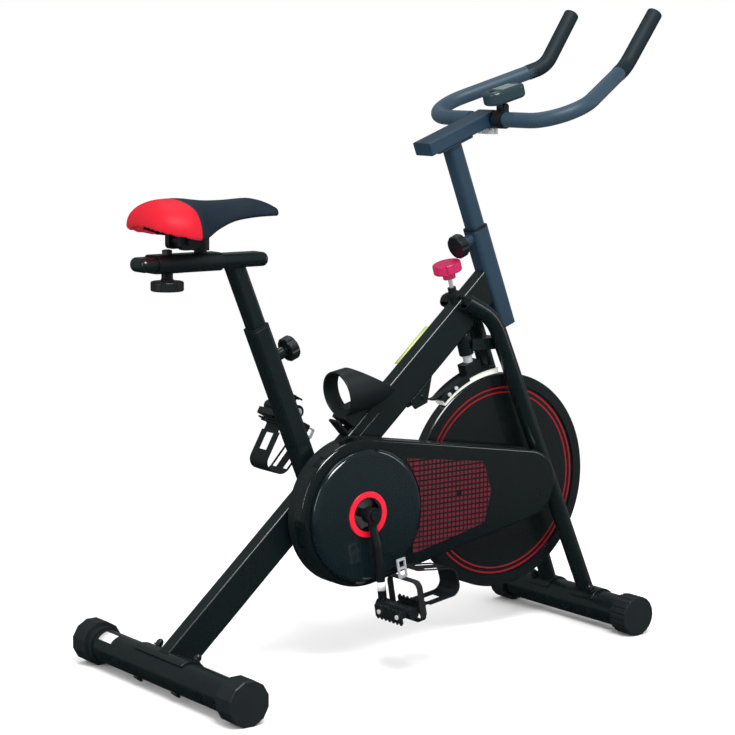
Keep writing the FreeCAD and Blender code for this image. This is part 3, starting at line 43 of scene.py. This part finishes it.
# Driving places, the same as in the CAD source ---------------------------------------------------
CRANK = Vector((-0.119, 0, 0.2855))
WHEEL = Vector((0.2567, 0, 0.2953))
REAR_FOOT = Vector((-0.490, 0, 0.038))
BEAM_ANGLE = math.radians(41.77)
CRANK_LENGTH, CRANK_ANGLE = 0.165, math.radians(7.4)
PEDAL_RIGHT = CRANK + Vector((math.sin(CRANK_ANGLE), 0, -math.cos(CRANK_ANGLE))) * CRANK_LENGTH
PEDAL_LEFT = 2 * CRANK - PEDAL_RIGHT
ARM_ACROSS, ARM_RADIUS = 0.107, 0.008       # crank arm: how far out it lies, and its radius
TUBE_RADIUS = 0.030                         # stabiliser tubes
CAGE_HALF, STRAP_TOP = 0.02801, 0.05601     # outer face of a pedal's plates; top of a toe strap
BRAKE_TIP, BRAKE_LEAN = Vector((0.182, 0, 0.529)), math.radians(-16.6)
SHOE_HALF = 0.01401                         # half the width of the brake shoe
CONSOLE_PIVOT, CONSOLE_TILT = Vector((0.222, -0.042, 1.009)), math.radians(15)
SCREEN_AHEAD = 0.016                        # middle of the screen, ahead of the console's hinge
STEM_BOTTOM = 0.968                         # bolt heads lie below this
GRIP_START, GRIP_AHEAD = Vector((0.431, 0.129, 1.070)), Vector((0.848, 0, 0.342))


# Materials ---------------------------------------------------------------------------------------
def new_material(name):
    """Empty principled material and handles on its node tree."""
    material = bpy.data.materials.new(name)
    material.use_nodes = True
    tree = material.node_tree
    return material, tree.nodes, tree.links, tree.nodes["Principled BSDF"]


def finish(name, colour, roughness, metal=0.0, coat=0.0, grain=400.0, bump=0.1, mottle=0.12, edge=0.0006,
           sheen=0.0, shine=0.5):
    """Principled finish with a mottled colour, uneven roughness, a fine bump and softened edges."""
    material, nodes, links, shader = new_material(name)
    place = nodes.new("ShaderNodeTexCoord").outputs["Object"]
    broad = nodes.new("ShaderNodeTexNoise")
    broad.inputs["Scale"].default_value = 18
    broad.inputs["Detail"].default_value = 6
    links.new(place, broad.inputs["Vector"])
    tint = nodes.new("ShaderNodeMix")
    tint.data_type = "RGBA"
    tint.inputs["A"].default_value = [c * (1 - mottle) for c in colour] + [1]
    tint.inputs["B"].default_value = [min(1, c * (1 + mottle)) for c in colour] + [1]
    links.new(broad.outputs["Fac"], tint.inputs["Factor"])
    links.new(tint.outputs["Result"], shader.inputs["Base Color"])
    spread = nodes.new("ShaderNodeMapRange")
    spread.inputs["To Min"].default_value = roughness * 0.85
    spread.inputs["To Max"].default_value = min(1, roughness * 1.15)
    links.new(broad.outputs["Fac"], spread.inputs["Value"])
    links.new(spread.outputs["Result"], shader.inputs["Roughness"])
    fine = nodes.new("ShaderNodeTexNoise")
    fine.inputs["Scale"].default_value = grain
    fine.inputs["Detail"].default_value = 3
    links.new(place, fine.inputs["Vector"])
    relief = nodes.new("ShaderNodeBump")
    relief.inputs["Strength"].default_value = bump
    relief.inputs["Distance"].default_value = 0.0004
    links.new(fine.outputs["Fac"], relief.inputs["Height"])
    if edge:
        soft = nodes.new("ShaderNodeBevel")
        soft.samples = 8
        soft.inputs["Radius"].default_value = edge
        links.new(soft.outputs["Normal"], relief.inputs["Normal"])
    links.new(relief.outputs["Normal"], shader.inputs["Normal"])
    shader.inputs["Metallic"].default_value = metal
    shader.inputs["Coat Weight"].default_value = coat
    shader.inputs["Coat Roughness"].default_value = 0.08
    shader.inputs["Sheen Weight"].default_value = sheen
    shader.inputs["Specular IOR Level"].default_value = shine
    return material


def maths(nodes, links, operation, first, second=None, third=None):
    """Maths node; each input is a socket or a number. Returns its output."""
    node = nodes.new("ShaderNodeMath")
    node.operation = operation
    for socket, value in zip(node.inputs, (first, second, third)):
        if value is None:
            continue
        if isinstance(value, (int, float)):
            socket.default_value = value
        else:
            links.new(value, socket)
    return node.outputs["Value"]


def recolour(material, mask, colour, roughness=None):
    """Lays a second colour over a material where mask is 1."""
    nodes, links = material.node_tree.nodes, material.node_tree.links
    shader = nodes["Principled BSDF"]
    for socket_name, value in (("Base Color", list(colour) + [1]), ("Roughness", roughness)):
        if value is None:
            continue
        socket = shader.inputs[socket_name]
        mix = nodes.new("ShaderNodeMix")
        mix.data_type = "RGBA" if socket_name == "Base Color" else "FLOAT"
        links.new(socket.links[0].from_socket, mix.inputs["A"])
        mix.inputs["B"].default_value = value
        links.new(mask, mix.inputs["Factor"])
        links.new(mix.outputs["Result"], socket)


def position(nodes, links):
    """X, Y and Z outputs of a point's place on the object."""
    place = nodes.new("ShaderNodeTexCoord")
    split = nodes.new("ShaderNodeSeparateXYZ")
    links.new(place.outputs["Object"], split.inputs["Vector"])
    return [split.outputs[axis] for axis in "XYZ"]


def wheel_paint():
    """Gloss black with two thin red circles on the sides."""
    material = finish("wheel_paint", (0.0042, 0.0066, 0.0076), 0.24, coat=0.5, grain=60, bump=0.006,
                      edge=0)
    nodes, links = material.node_tree.nodes, material.node_tree.links
    x, y, z = position(nodes, links)
    dx = maths(nodes, links, "SUBTRACT", x, WHEEL.x)
    dz = maths(nodes, links, "SUBTRACT", z, WHEEL.z)
    square = maths(nodes, links, "ADD", maths(nodes, links, "MULTIPLY", dx, dx),
                   maths(nodes, links, "MULTIPLY", dz, dz))
    radius = maths(nodes, links, "SQRT", square)
    for circle, half in ((0.1800, 0.0017), (0.1705, 0.0014)):
        away = maths(nodes, links, "ABSOLUTE", maths(nodes, links, "SUBTRACT", radius, circle))
        recolour(material, maths(nodes, links, "LESS_THAN", away, half), (0.26, 0.004, 0.008))
    return material


def mesh_red():
    """Dark sheet with a grid of small dark-red square openings."""
    material = finish("mesh_red", (0.0040, 0.0060, 0.0080), 0.30, grain=60, bump=0.02)
    nodes, links = material.node_tree.nodes, material.node_tree.links
    x, y, z = position(nodes, links)
    pitch, opening = 0.0095, 0.66
    inside = None
    for axis in (x, z):
        step = maths(nodes, links, "FRACT", maths(nodes, links, "ABSOLUTE",
                                                  maths(nodes, links, "DIVIDE", axis, pitch)))
        hole = maths(nodes, links, "LESS_THAN", step, opening)
        inside = hole if inside is None else maths(nodes, links, "MULTIPLY", inside, hole)
    recolour(material, inside, (0.115, 0.003, 0.012), 0.45)
    return material


FINISHES = {
    "paint": finish("frame_paint", (0.0028, 0.0072, 0.0080), 0.28, coat=0.4, grain=700,
                    bump=0.03, edge=0.0025),
    # Painted light: the upper tubes, stem and bar get a lighter, bluer copy of the frame paint, standing
    # in for the light they catch.
    "upper_lit": finish("upper_paint_painted_light", (0.011, 0.033, 0.058), 0.38, coat=0.2, grain=700, bump=0.03,
                   edge=0.0025),
    "foam": finish("foam", (0.014, 0.042, 0.070), 0.50, grain=500, bump=0.08, edge=0, sheen=0.06),
    "grip": finish("grip", (0.0040, 0.0130, 0.0190), 0.60, grain=400, bump=0.06, edge=0, shine=0.3),
    "black_steel": finish("black_steel", (0.0035, 0.0065, 0.0080), 0.34, coat=0.2, bump=0.08),
    "zinc": finish("zinc", (0.55, 0.57, 0.60), 0.28, metal=0.3, grain=900, bump=0.06),
    "chrome": finish("chrome", (0.60, 0.63, 0.66), 0.16, metal=0.45, coat=0.3, bump=0.02),
    "alloy": finish("alloy", (0.50, 0.52, 0.55), 0.32, metal=0.45),
    "plastic": finish("black_plastic", (0.0045, 0.0080, 0.0095), 0.42, grain=1500, bump=0.18),
    "rubber": finish("cap_rubber", (0.0060, 0.0105, 0.0130), 0.50, grain=1400, bump=0.2),
    "gloss": finish("gloss_black", (0.0022, 0.0048, 0.0054), 0.14, coat=0.8, grain=40,
                    bump=0.006, mottle=0.05),
    "disc": finish("disc_black", (0.0034, 0.0090, 0.0110), 0.15, coat=1.0, grain=20, bump=0.002,
                   mottle=0.05, edge=0),
    "red": finish("red_ring", (0.72, 0.006, 0.028), 0.25, coat=0.5, bump=0.03),
    "mesh_red": mesh_red(),
    "wheel": wheel_paint(),
    "belt": finish("belt_rubber", (0.006, 0.006, 0.006), 0.7, grain=1500, bump=0.3),
    "felt": finish("felt", (0.72, 0.74, 0.66), 0.95, grain=2600, bump=0.9, mottle=0.2, edge=0,
                   sheen=0.6),
    "webbing": finish("webbing", (0.006, 0.007, 0.008), 0.8, grain=2500, bump=0.6),
    "console": finish("console_plastic", (0.016, 0.036, 0.044), 0.30, coat=0.4, bump=0.12),
    "red_vinyl": finish("red_vinyl", (0.50, 0.0005, 0.013), 0.55, grain=700, bump=0.06,
                        mottle=0.08, edge=0, shine=0.25),
    "black_vinyl": finish("black_vinyl", (0.0035, 0.0125, 0.0240), 0.55, grain=900, bump=0.12,
                          edge=0, shine=0.35),
    "screen": finish("screen", (0.22, 0.28, 0.28), 0.15, coat=1.0, bump=0.01),
    "white": finish("blank_label", (0.80, 0.78, 0.80), 0.45, bump=0.03, mottle=0.03),
    "lime": finish("lime_strip", (0.55, 0.62, 0.22), 0.40, bump=0.03, mottle=0.10),
    "magenta": finish("knob_red", (0.42, 0.006, 0.075), 0.34, coat=0.4, bump=0.12),
}
FINISH_NODES = {
    "paint": ("main_beam", "seat_tube", "fork_legs", "fork_brace", "saddle_plates",
              "rear_stabiliser", "front_stabiliser", "bottom_bracket", "wheel_stays", "brake_lug",
              "seat_post"),
    # Painted light: these upper parts take the lighter copy of the frame paint, standing in for the light
    # they catch.
    "upper_lit": ("head_tube", "handlebar_post", "stem", "handlebar"),
    "black_steel": ("stabiliser_fasteners", "ball_bearings", "guard_screws", "bottle_cage",
                    "crank_arm_right", "crank_arm_left", "seat_slider", "saddle_clamp",
                    "saddle_rails", "brake_arm"),
    "plastic": ("plastic_bushes", "guard_inner", "pedal_right", "pedal_left", "toe_clip_right",
                "toe_clip_left", "seat_pin", "slider_knob", "handlebar_pin", "console_bracket",
                "console_button"),
    "rubber": ("levelling_cap_right", "levelling_cap_left", "roller_cap_right", "roller_cap_left"),
    "gloss": ("guard_outer",),
    "disc": ("guard_disc",),
    "red": ("guard_ring",),
    "mesh_red": ("louvre_panel",),
    "alloy": ("drive_pulley",),
    "belt": ("drive_belt",),
    "zinc": ("spindles", "wheel_axle", "seat_pin_spring", "handlebar_pin_spring", "brake_plunger",
             "brake_spring"),
    "webbing": ("toe_strap_right", "toe_strap_left"),
    "wheel": ("flywheel",),
    "black_vinyl": ("saddle_pad",),
    "foam": ("bar_foam",),
    "console": ("console_body",),
    "magenta": ("brake_screw",),
    "felt": ("brake_pad",),
}


# Saddle ------------------------------------------------------------------------------------------
SEAM_X = -0.462                 # the red rear cover meets the black front cover at this plane
SADDLE_EDGE = [                 # lower edge of the left side, from the middle of the rear to the nose tip
    (-541, 0, 818), (-540, 22, 817), (-536, 44, 813), (-524, 64, 808), (-503, 77, 803), (-478, 83, 798),
    (-455, 76, 795), (-434, 58, 797), (-402, 39, 808), (-359, 24, 820), (-314, 19, 825), (-277, 17, 826),
    (-262, 11, 825.5), (-256, 0, 825)]
SADDLE_CROWN = [                # top line in the middle plane, from the rear forwards
    (-487, 858), (-461, 858.5), (-430, 855), (-407, 853), (-370, 853), (-326, 855), (-300, 851),
    (-280, 844.5), (-262, 836)]
SADDLE_ROWS = 18                # from the crown down to the edge
SADDLE_ROUNDNESS = 0.9          # 1 is an ellipse; less is fuller
SADDLE_WIDEST, SADDLE_FRONT = -0.460, -0.262
ROLLED_EDGE = [(0.0015, -0.0028), (0.0045, -0.0040), (0.008, -0.0030), (0.013, 0.0015)]  # inwards and up
PLEAT_START, PLEAT_PITCH = -0.465, 620   # pleats under the rear edge; pitch in radians per metre
SEAM_HALF, SEAM_DEPTH = 0.0016, 0.0012


def spline(points, steps):
    """Points of a smooth curve through the given ones, with a number of steps between each two."""
    ends = [2 * points[0] - points[1]] + points + [2 * points[-1] - points[-2]]
    curve = []
    for before, start, end, after in zip(ends, ends[1:], ends[2:], ends[3:]):
        for step in range(steps):
            t = step / steps
            curve.append(0.5 * (2 * start + (end - before) * t
                                + (2 * before - 5 * start + 4 * end - after) * t ** 2
                                + (3 * start - before - 3 * end + after) * t ** 3))
    return curve + [points[-1]]


def height_at(profile, x):
    """Height of a profile given as points ordered along X."""
    for low, high in zip(profile, profile[1:]):
        if x <= high.x:
            share = max(0, (x - low.x) / (high.x - low.x))
            return low.z + (high.z - low.z) * share
    return profile[-1].z


def mesh_object(name, mesh, finishes, body):
    """New object of the bike that rides on a CAD body."""
    data = bpy.data.meshes.new(name)
    mesh.to_mesh(data)
    mesh.free()
    for finish_name in finishes:
        data.materials.append(FINISHES[finish_name])
    obj = bpy.data.objects.new(name, data)
    bpy.context.scene.collection.objects.link(obj)
    for face in data.polygons:
        face.use_smooth = True
    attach(obj, body)
    return obj


def add_modifier(obj, kind, **settings):
    modifier = obj.modifiers.new(kind.lower(), kind)
    for key, value in settings.items():
        setattr(modifier, key, value)
    return modifier


def saddle_columns():
    """For each place round the lower edge: the edge point and the point of the crown above it."""
    edge = spline([Vector(p) * MM for p in SADDLE_EDGE], 4)
    crown = spline([Vector((x, 0, z)) * MM for x, z in SADDLE_CROWN], 6)
    columns = []
    for point in edge:
        if point.x < SADDLE_WIDEST:
            spine_x = SADDLE_WIDEST + (point.x - SADDLE_WIDEST) * 0.33
        else:
            spine_x = min(point.x, SADDLE_FRONT)
        columns.append((point, Vector((spine_x, 0, height_at(crown, spine_x)))))
    mirror = Vector((1, -1, 1))
    return columns + [(edge_point * mirror, top) for edge_point, top in reversed(columns[1:-1])]


def seam_bulge(y):
    """How far the seam lies behind SEAM_X at a place across the saddle."""
    return 0.014 * max(0, 1 - (y / 0.06) ** 2)


def build_saddle():
    """Crowned cover with a rolled lower edge, gathered under the rear, and a recessed base."""
    mesh = bmesh.new()
    rings = []
    columns = saddle_columns()
    for edge, top in columns:
        out = Vector((edge.x - top.x, edge.y, 0))
        reach = out.length
        out.normalize()
        gather = max(0, min(1, (PLEAT_START - edge.x) / 0.03)) * math.sin(edge.y * PLEAT_PITCH)
        ring = []
        for row in range(SADDLE_ROWS + 1):
            turn = math.radians(90) * row / SADDLE_ROWS
            rise = (top.z - edge.z) * math.cos(turn) ** SADDLE_ROUNDNESS
            ring.append(Vector((top.x, 0, edge.z + rise)) + out * reach * math.sin(turn))
        fold = Vector((0, 0, 0.0011 * gather)) + out * 0.0009 * gather
        for inwards, lift in ROLLED_EDGE:
            ring.append(edge - out * min(inwards, 0.7 * reach) + Vector((0, 0, lift)) + fold)
        base = ring[-1] - out * 0.45 * reach
        ring.append(Vector((base.x, base.y, base.z + 0.010)))
        rings.append([mesh.verts.new(point) for point in ring])
    for first, second in zip(rings, rings[1:] + rings[:1]):
        for row in range(len(first) - 1):
            mesh.faces.new((first[row], first[row + 1], second[row + 1], second[row]))
    mesh.faces.new([ring[-1] for ring in rings])
    bmesh.ops.remove_doubles(mesh, verts=mesh.verts, dist=0.0003)
    for vertex in mesh.verts:
        vertex.co.x += seam_bulge(vertex.co.y)
    for shift in (-SEAM_HALF, 0, SEAM_HALF):
        bmesh.ops.bisect_plane(mesh, geom=mesh.verts[:] + mesh.edges[:] + mesh.faces[:],
                               plane_co=(SEAM_X + shift, 0, 0), plane_no=(1, 0, 0))
    for face in mesh.faces:
        face.material_index = 1 if face.calc_center_median().x > SEAM_X else 0
    seam = [vertex for vertex in mesh.verts if abs(vertex.co.x - SEAM_X) < 0.0002]
    for vertex in mesh.verts:
        vertex.co.x -= seam_bulge(vertex.co.y)
    bmesh.ops.recalc_face_normals(mesh, faces=mesh.faces)
    mesh.normal_update()
    for vertex in seam:
        vertex.co -= vertex.normal * SEAM_DEPTH
    saddle = mesh_object("saddle_cover", mesh, ["red_vinyl", "black_vinyl"], "saddle")
    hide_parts("saddle_pad")
    return saddle


# Bottle holder -----------------------------------------------------------------------------------
HOLDER_TILT = math.radians(10)      # the bottle's axis above level, towards the front
HOLDER_CENTRE = Vector((-0.109, 0, 0.495))
HOLDER_RADIUS, HOLDER_WALL, HOLDER_HALF = 0.043, 0.004, 0.016
HOLDER_LOW, HOLDER_HIGH = 0.536, 0.658
UP_BEAM = Vector((math.cos(BEAM_ANGLE), 0, math.sin(BEAM_ANGLE)))
OFF_BEAM = Vector((-math.sin(BEAM_ANGLE), 0, math.cos(BEAM_ANGLE)))
BEAM_FACE = 0.0301


def on_beam(along, off):
    """Point in the middle plane, measured along the beam and square off its centre line."""
    return REAR_FOOT + UP_BEAM * along + OFF_BEAM * off


def add_prism(mesh, outline, half_width):
    """Flat outline in the middle plane, given a width."""
    right = [mesh.verts.new(point - Vector((0, half_width, 0))) for point in outline]
    left = [mesh.verts.new(point + Vector((0, half_width, 0))) for point in outline]
    mesh.faces.new(right)
    mesh.faces.new(list(reversed(left)))
    count = len(outline)
    for k in range(count):
        after = (k + 1) % count
        mesh.faces.new((right[k], left[k], left[after], right[after]))


def add_cup(mesh):
    """Full hoop, with its right wall and its floor carried on to the beam under a sloping top edge."""
    axis = Vector((math.cos(HOLDER_TILT), 0, math.sin(HOLDER_TILT)))
    upright = Vector((-axis.z, 0, axis.x))
    top = HOLDER_CENTRE + upright * HOLDER_RADIUS + axis * HOLDER_HALF
    slope = on_beam(HOLDER_HIGH, BEAM_FACE) - top
    above = Vector((-slope.z, 0, slope.x)).normalized()
    inner, outer = [], []
    steps = 72
    for step in range(steps):
        turn = 2 * math.pi * step / steps
        out = upright * math.cos(turn) + Vector((0, 1, 0)) * math.sin(turn)
        point = HOLDER_CENTRE + out * HOLDER_RADIUS
        to_slope = (top - point).dot(above) / axis.dot(above)
        to_beam = ((point - on_beam(0, BEAM_FACE)).dot(OFF_BEAM) - 0.0005) / -axis.dot(OFF_BEAM)
        end = max(HOLDER_HALF, min(to_slope, to_beam)) if turn > math.radians(150) else HOLDER_HALF
        outer.append([mesh.verts.new(point + axis * at) for at in (-HOLDER_HALF, end)])
        inner.append([mesh.verts.new(point - out * HOLDER_WALL + axis * at) for at in (-HOLDER_HALF, end)])
    for k in range(steps):
        after = (k + 1) % steps
        mesh.faces.new((outer[k][0], outer[after][0], outer[after][1], outer[k][1]))
        mesh.faces.new((inner[k][1], inner[after][1], inner[after][0], inner[k][0]))
        mesh.faces.new((inner[k][0], inner[after][0], outer[after][0], outer[k][0]))
        mesh.faces.new((outer[k][1], outer[after][1], inner[after][1], inner[k][1]))


def build_bottle_holder():
    """Foot strip with a raised lip, a web, the cup and two screw heads, as one moulding."""
    mesh = bmesh.new()
    low, high = HOLDER_LOW, HOLDER_HIGH
    strip, lip = BEAM_FACE + 0.004, BEAM_FACE + 0.036
    foot = [(low, BEAM_FACE), (high, BEAM_FACE), (high, strip), (low + 0.005, strip),
            (low + 0.005, lip), (low, lip)]
    add_prism(mesh, [on_beam(*place) for place in foot], 0.014)
    web = [(low + 0.018, strip), (high - 0.014, strip), (high - 0.028, strip + 0.010),
           (low + 0.066, strip + 0.016), (low + 0.030, strip + 0.034), (low + 0.012, strip + 0.028)]
    add_prism(mesh, [on_beam(*place) for place in web], 0.019)
    add_cup(mesh)
    tip = Matrix.Rotation(-BEAM_ANGLE, 4, "Y")
    for along in (low + 0.012, high - 0.007):
        place = Matrix.Translation(on_beam(along, strip + 0.0012)) @ tip
        bmesh.ops.create_cone(mesh, cap_ends=True, segments=24, radius1=0.0045, radius2=0.0036,
                              depth=0.003, matrix=place)
    bmesh.ops.recalc_face_normals(mesh, faces=mesh.faces)
    holder = mesh_object("bottle_holder", mesh, ["plastic"], "frame")
    for face in holder.data.polygons:
        face.use_smooth = False
    add_modifier(holder, "BEVEL", width=0.0008, segments=2, limit_method="ANGLE")
    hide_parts("bottle_cage")
    return holder


# Finishes by place on one node -------------------------------------------------------------------
def paint_where(node_name, finish_name, chosen):
    """Gives the faces of a CAD node whose middle passes the test another finish."""
    node = NODES[node_name]
    node.data.materials.append(FINISHES[finish_name])
    index = len(node.data.materials) - 1
    for face in node.data.polygons:
        if chosen(face.center):
            face.material_index = index


def pedal_place(point, pedal, tilt):
    """Point in a pedal's own frame: X forwards along the pedal, Z up from it."""
    turn = Matrix.Rotation(math.radians(-tilt), 3, "Y")
    return turn @ (point - pedal)


def paint_small_parts():
    """Screws, buckles, rods and the screen that share a node with something darker."""
    for side, pedal, tilt in (("right", PEDAL_RIGHT, -10), ("left", PEDAL_LEFT, 118)):
        paint_where("toe_strap_" + side, "chrome", lambda p: pedal_place(p, pedal, tilt).z > STRAP_TOP)
        paint_where("pedal_" + side, "zinc", lambda p: abs(pedal_place(p, pedal, tilt).x) > CAGE_HALF)
    paint_where("spindles", "black_steel", lambda p: math.hypot(p.x - CRANK.x, p.z - CRANK.z) < 0.03)
    paint_where("brake_arm", "zinc", lambda p: abs(p.y) > SHOE_HALF)
    along = Vector((math.sin(BRAKE_LEAN), 0, math.cos(BRAKE_LEAN)))
    paint_where("brake_screw", "chrome", lambda p: (p - BRAKE_TIP).cross(along).length < 0.0045)
    paint_where("stem", "zinc", lambda p: p.z < STEM_BOTTOM and p.x > 0.21)
    paint_where("bar_foam", "grip", lambda p: (p - GRIP_START).dot(GRIP_AHEAD) > 0)
    up = Vector((-math.sin(CONSOLE_TILT), 0, math.cos(CONSOLE_TILT)))
    ahead = Vector((math.cos(CONSOLE_TILT), 0, math.sin(CONSOLE_TILT)))

    def on_screen(point):
        away = point - CONSOLE_PIVOT
        inside = abs(away.dot(ahead) - SCREEN_AHEAD) < 0.020 and abs(away.y) < 0.016
        return inside and 0.0324 < away.dot(up) < 0.0338

    paint_where("console_body", "screen", on_screen)


def curved_label(name, start, along, length, radius, angles, body):
    """Blank sticker bent round a tube; angles are in degrees from straight up, towards the rear."""
    mesh = bmesh.new()
    along = along.normalized()
    upright = (Vector((0, 0, 1)) - along * along.z).normalized()
    back = upright.cross(along)
    steps = 16
    rows = []
    for step in range(steps + 1):
        turn = math.radians(angles[0] + (angles[1] - angles[0]) * step / steps)
        out = upright * math.cos(turn) + back * math.sin(turn)
        rows.append([mesh.verts.new(start + out * radius + along * share * length) for share in (0, 1)])
    for first, second in zip(rows, rows[1:]):
        mesh.faces.new((first[0], first[1], second[1], second[0]))
    label = mesh_object(name, mesh, ["white"], body)
    add_modifier(label, "SOLIDIFY", thickness=0.0003, offset=1)


def build_labels():
    """Blank stickers: on the crank arm, on the rear stabiliser and along the beam's top face."""
    down_arm = (PEDAL_RIGHT - CRANK).normalized()
    arm_start = CRANK + Vector((0, -ARM_ACROSS, 0)) + down_arm * 0.122
    curved_label("crank_label", arm_start, down_arm, 0.016, ARM_RADIUS + 0.0001, (0, 360), "crankset")
    across, tube_start = Vector((0, 1, 0)), REAR_FOOT + Vector((0, 0.150, 0))
    curved_label("rear_label", tube_start, across, 0.042, TUBE_RADIUS + 0.0001, (12, 52), "frame")
    mesh = bmesh.new()
    corners = [mesh.verts.new(on_beam(along, BEAM_FACE) + Vector((0, y, 0)))
               for along, y in ((0.713, 0.012), (0.811, 0.012), (0.811, 0.021), (0.713, 0.021))]
    mesh.faces.new(corners)
    strip = mesh_object("beam_strip", mesh, ["lime"], "frame")
    add_modifier(strip, "SOLIDIFY", thickness=0.0003, offset=0)


# Scene -------------------------------------------------------------------------------------------
def add_light(name, place, target, size, power):
    data = bpy.data.lights.new(name, "AREA")
    data.shape = "RECTANGLE"
    data.size, data.size_y = size
    data.energy = power
    light = bpy.data.objects.new(name, data)
    bpy.context.scene.collection.objects.link(light)
    light.location = place
    light.rotation_euler = (Vector(target) - Vector(place)).to_track_quat("-Z", "Y").to_euler()


def build_floor():
    """Pale floor that fades out, so that no horizon shows."""
    bpy.ops.mesh.primitive_circle_add(vertices=96, radius=3.2, fill_type="NGON", location=(0, 0, -0.0005))
    floor = bpy.context.object
    floor.name = "floor"
    material, nodes, links, shader = new_material("floor")
    shader.inputs["Base Color"].default_value = (1, 1, 1, 1)
    shader.inputs["Roughness"].default_value = 1.0
    shader.inputs["Specular IOR Level"].default_value = 0.0
    x, y, z = position(nodes, links)
    square = maths(nodes, links, "ADD", maths(nodes, links, "MULTIPLY", x, x),
                   maths(nodes, links, "MULTIPLY", y, y))
    fade = nodes.new("ShaderNodeMapRange")
    fade.interpolation_type = "SMOOTHSTEP"
    fade.inputs["From Min"].default_value = 0.8
    fade.inputs["From Max"].default_value = 2.8
    fade.inputs["To Min"].default_value = 1.0
    fade.inputs["To Max"].default_value = 0.0
    links.new(maths(nodes, links, "SQRT", square), fade.inputs["Value"])
    links.new(fade.outputs["Result"], shader.inputs["Alpha"])
    floor.data.materials.append(material)
    floor.visible_glossy = False


def build_studio():
    """Pale floor, white surroundings and soft lights."""
    world = bpy.data.worlds.new("studio")
    world.use_nodes = True
    nodes, links = world.node_tree.nodes, world.node_tree.links
    ray = nodes.new("ShaderNodeLightPath").outputs["Is Glossy Ray"]
    split = nodes.new("ShaderNodeSeparateXYZ")
    links.new(nodes.new("ShaderNodeTexCoord").outputs["Generated"], split.inputs["Vector"])
    sky = nodes.new("ShaderNodeMapRange")
    sky.inputs["From Min"].default_value = -0.215
    sky.inputs["From Max"].default_value = -0.190
    sky.inputs["To Min"].default_value = 0.012
    sky.inputs["To Max"].default_value = 0.13
    links.new(split.outputs["Z"], sky.inputs["Value"])
    strength = nodes.new("ShaderNodeMix")
    strength.inputs["A"].default_value = 1.0
    links.new(ray, strength.inputs["Factor"])
    links.new(sky.outputs["Result"], strength.inputs["B"])
    links.new(strength.outputs["Result"], nodes["Background"].inputs["Strength"])
    nodes["Background"].inputs["Color"].default_value = (1, 1, 1, 1)
    bpy.context.scene.world = world
    build_floor()
    add_light("overhead", (-0.9, -1.9, 3.2), (-0.1, 0, 0.5), (1.8, 1.1), 105)
    add_light("left", (-3.4, 0.2, 1.6), (0, 0, 0.6), (0.4, 2.0), 14)
    add_light("right", (3.1, -2.2, 1.5), (0.2, 0, 0.6), (0.4, 2.0), 10)
    add_light("crown", (0.4, 1.2, 3.6), (0, 0, 0.8), (1.0, 0.6), 12)
    bpy.context.scene.view_settings.view_transform = "Standard"


def build_camera():
    """Camera at the product view: right rear quarter, a little above the crank, long lens."""
    yaw, pitch, roll = math.radians(36.95), math.radians(7.81), math.radians(0.395)
    ahead = Vector((math.sin(yaw) * math.cos(pitch), math.cos(yaw) * math.cos(pitch), -math.sin(pitch)))
    level = Vector((math.cos(yaw), -math.sin(yaw), 0))
    upright = level.cross(ahead)
    right = level * math.cos(roll) + upright * math.sin(roll)
    up = upright * math.cos(roll) - level * math.sin(roll)
    data = bpy.data.cameras.new("camera")
    data.lens = 109.6
    data.shift_x, data.shift_y = 0.0004, -0.0033
    camera = bpy.data.objects.new("camera", data)
    bpy.context.scene.collection.objects.link(camera)
    turn = Matrix((right, up, -ahead)).transposed().to_4x4()
    camera.matrix_world = Matrix.Translation((-2.4895, -3.2339, 1.0962)) @ turn
    bpy.context.scene.camera = camera


for finish_name, node_names in FINISH_NODES.items():
    for node_name in node_names:
        NODES[node_name].data.materials.clear()
        NODES[node_name].data.materials.append(FINISHES[finish_name])
paint_small_parts()
build_saddle()
build_bottle_holder()
build_labels()
build_studio()
build_camera()
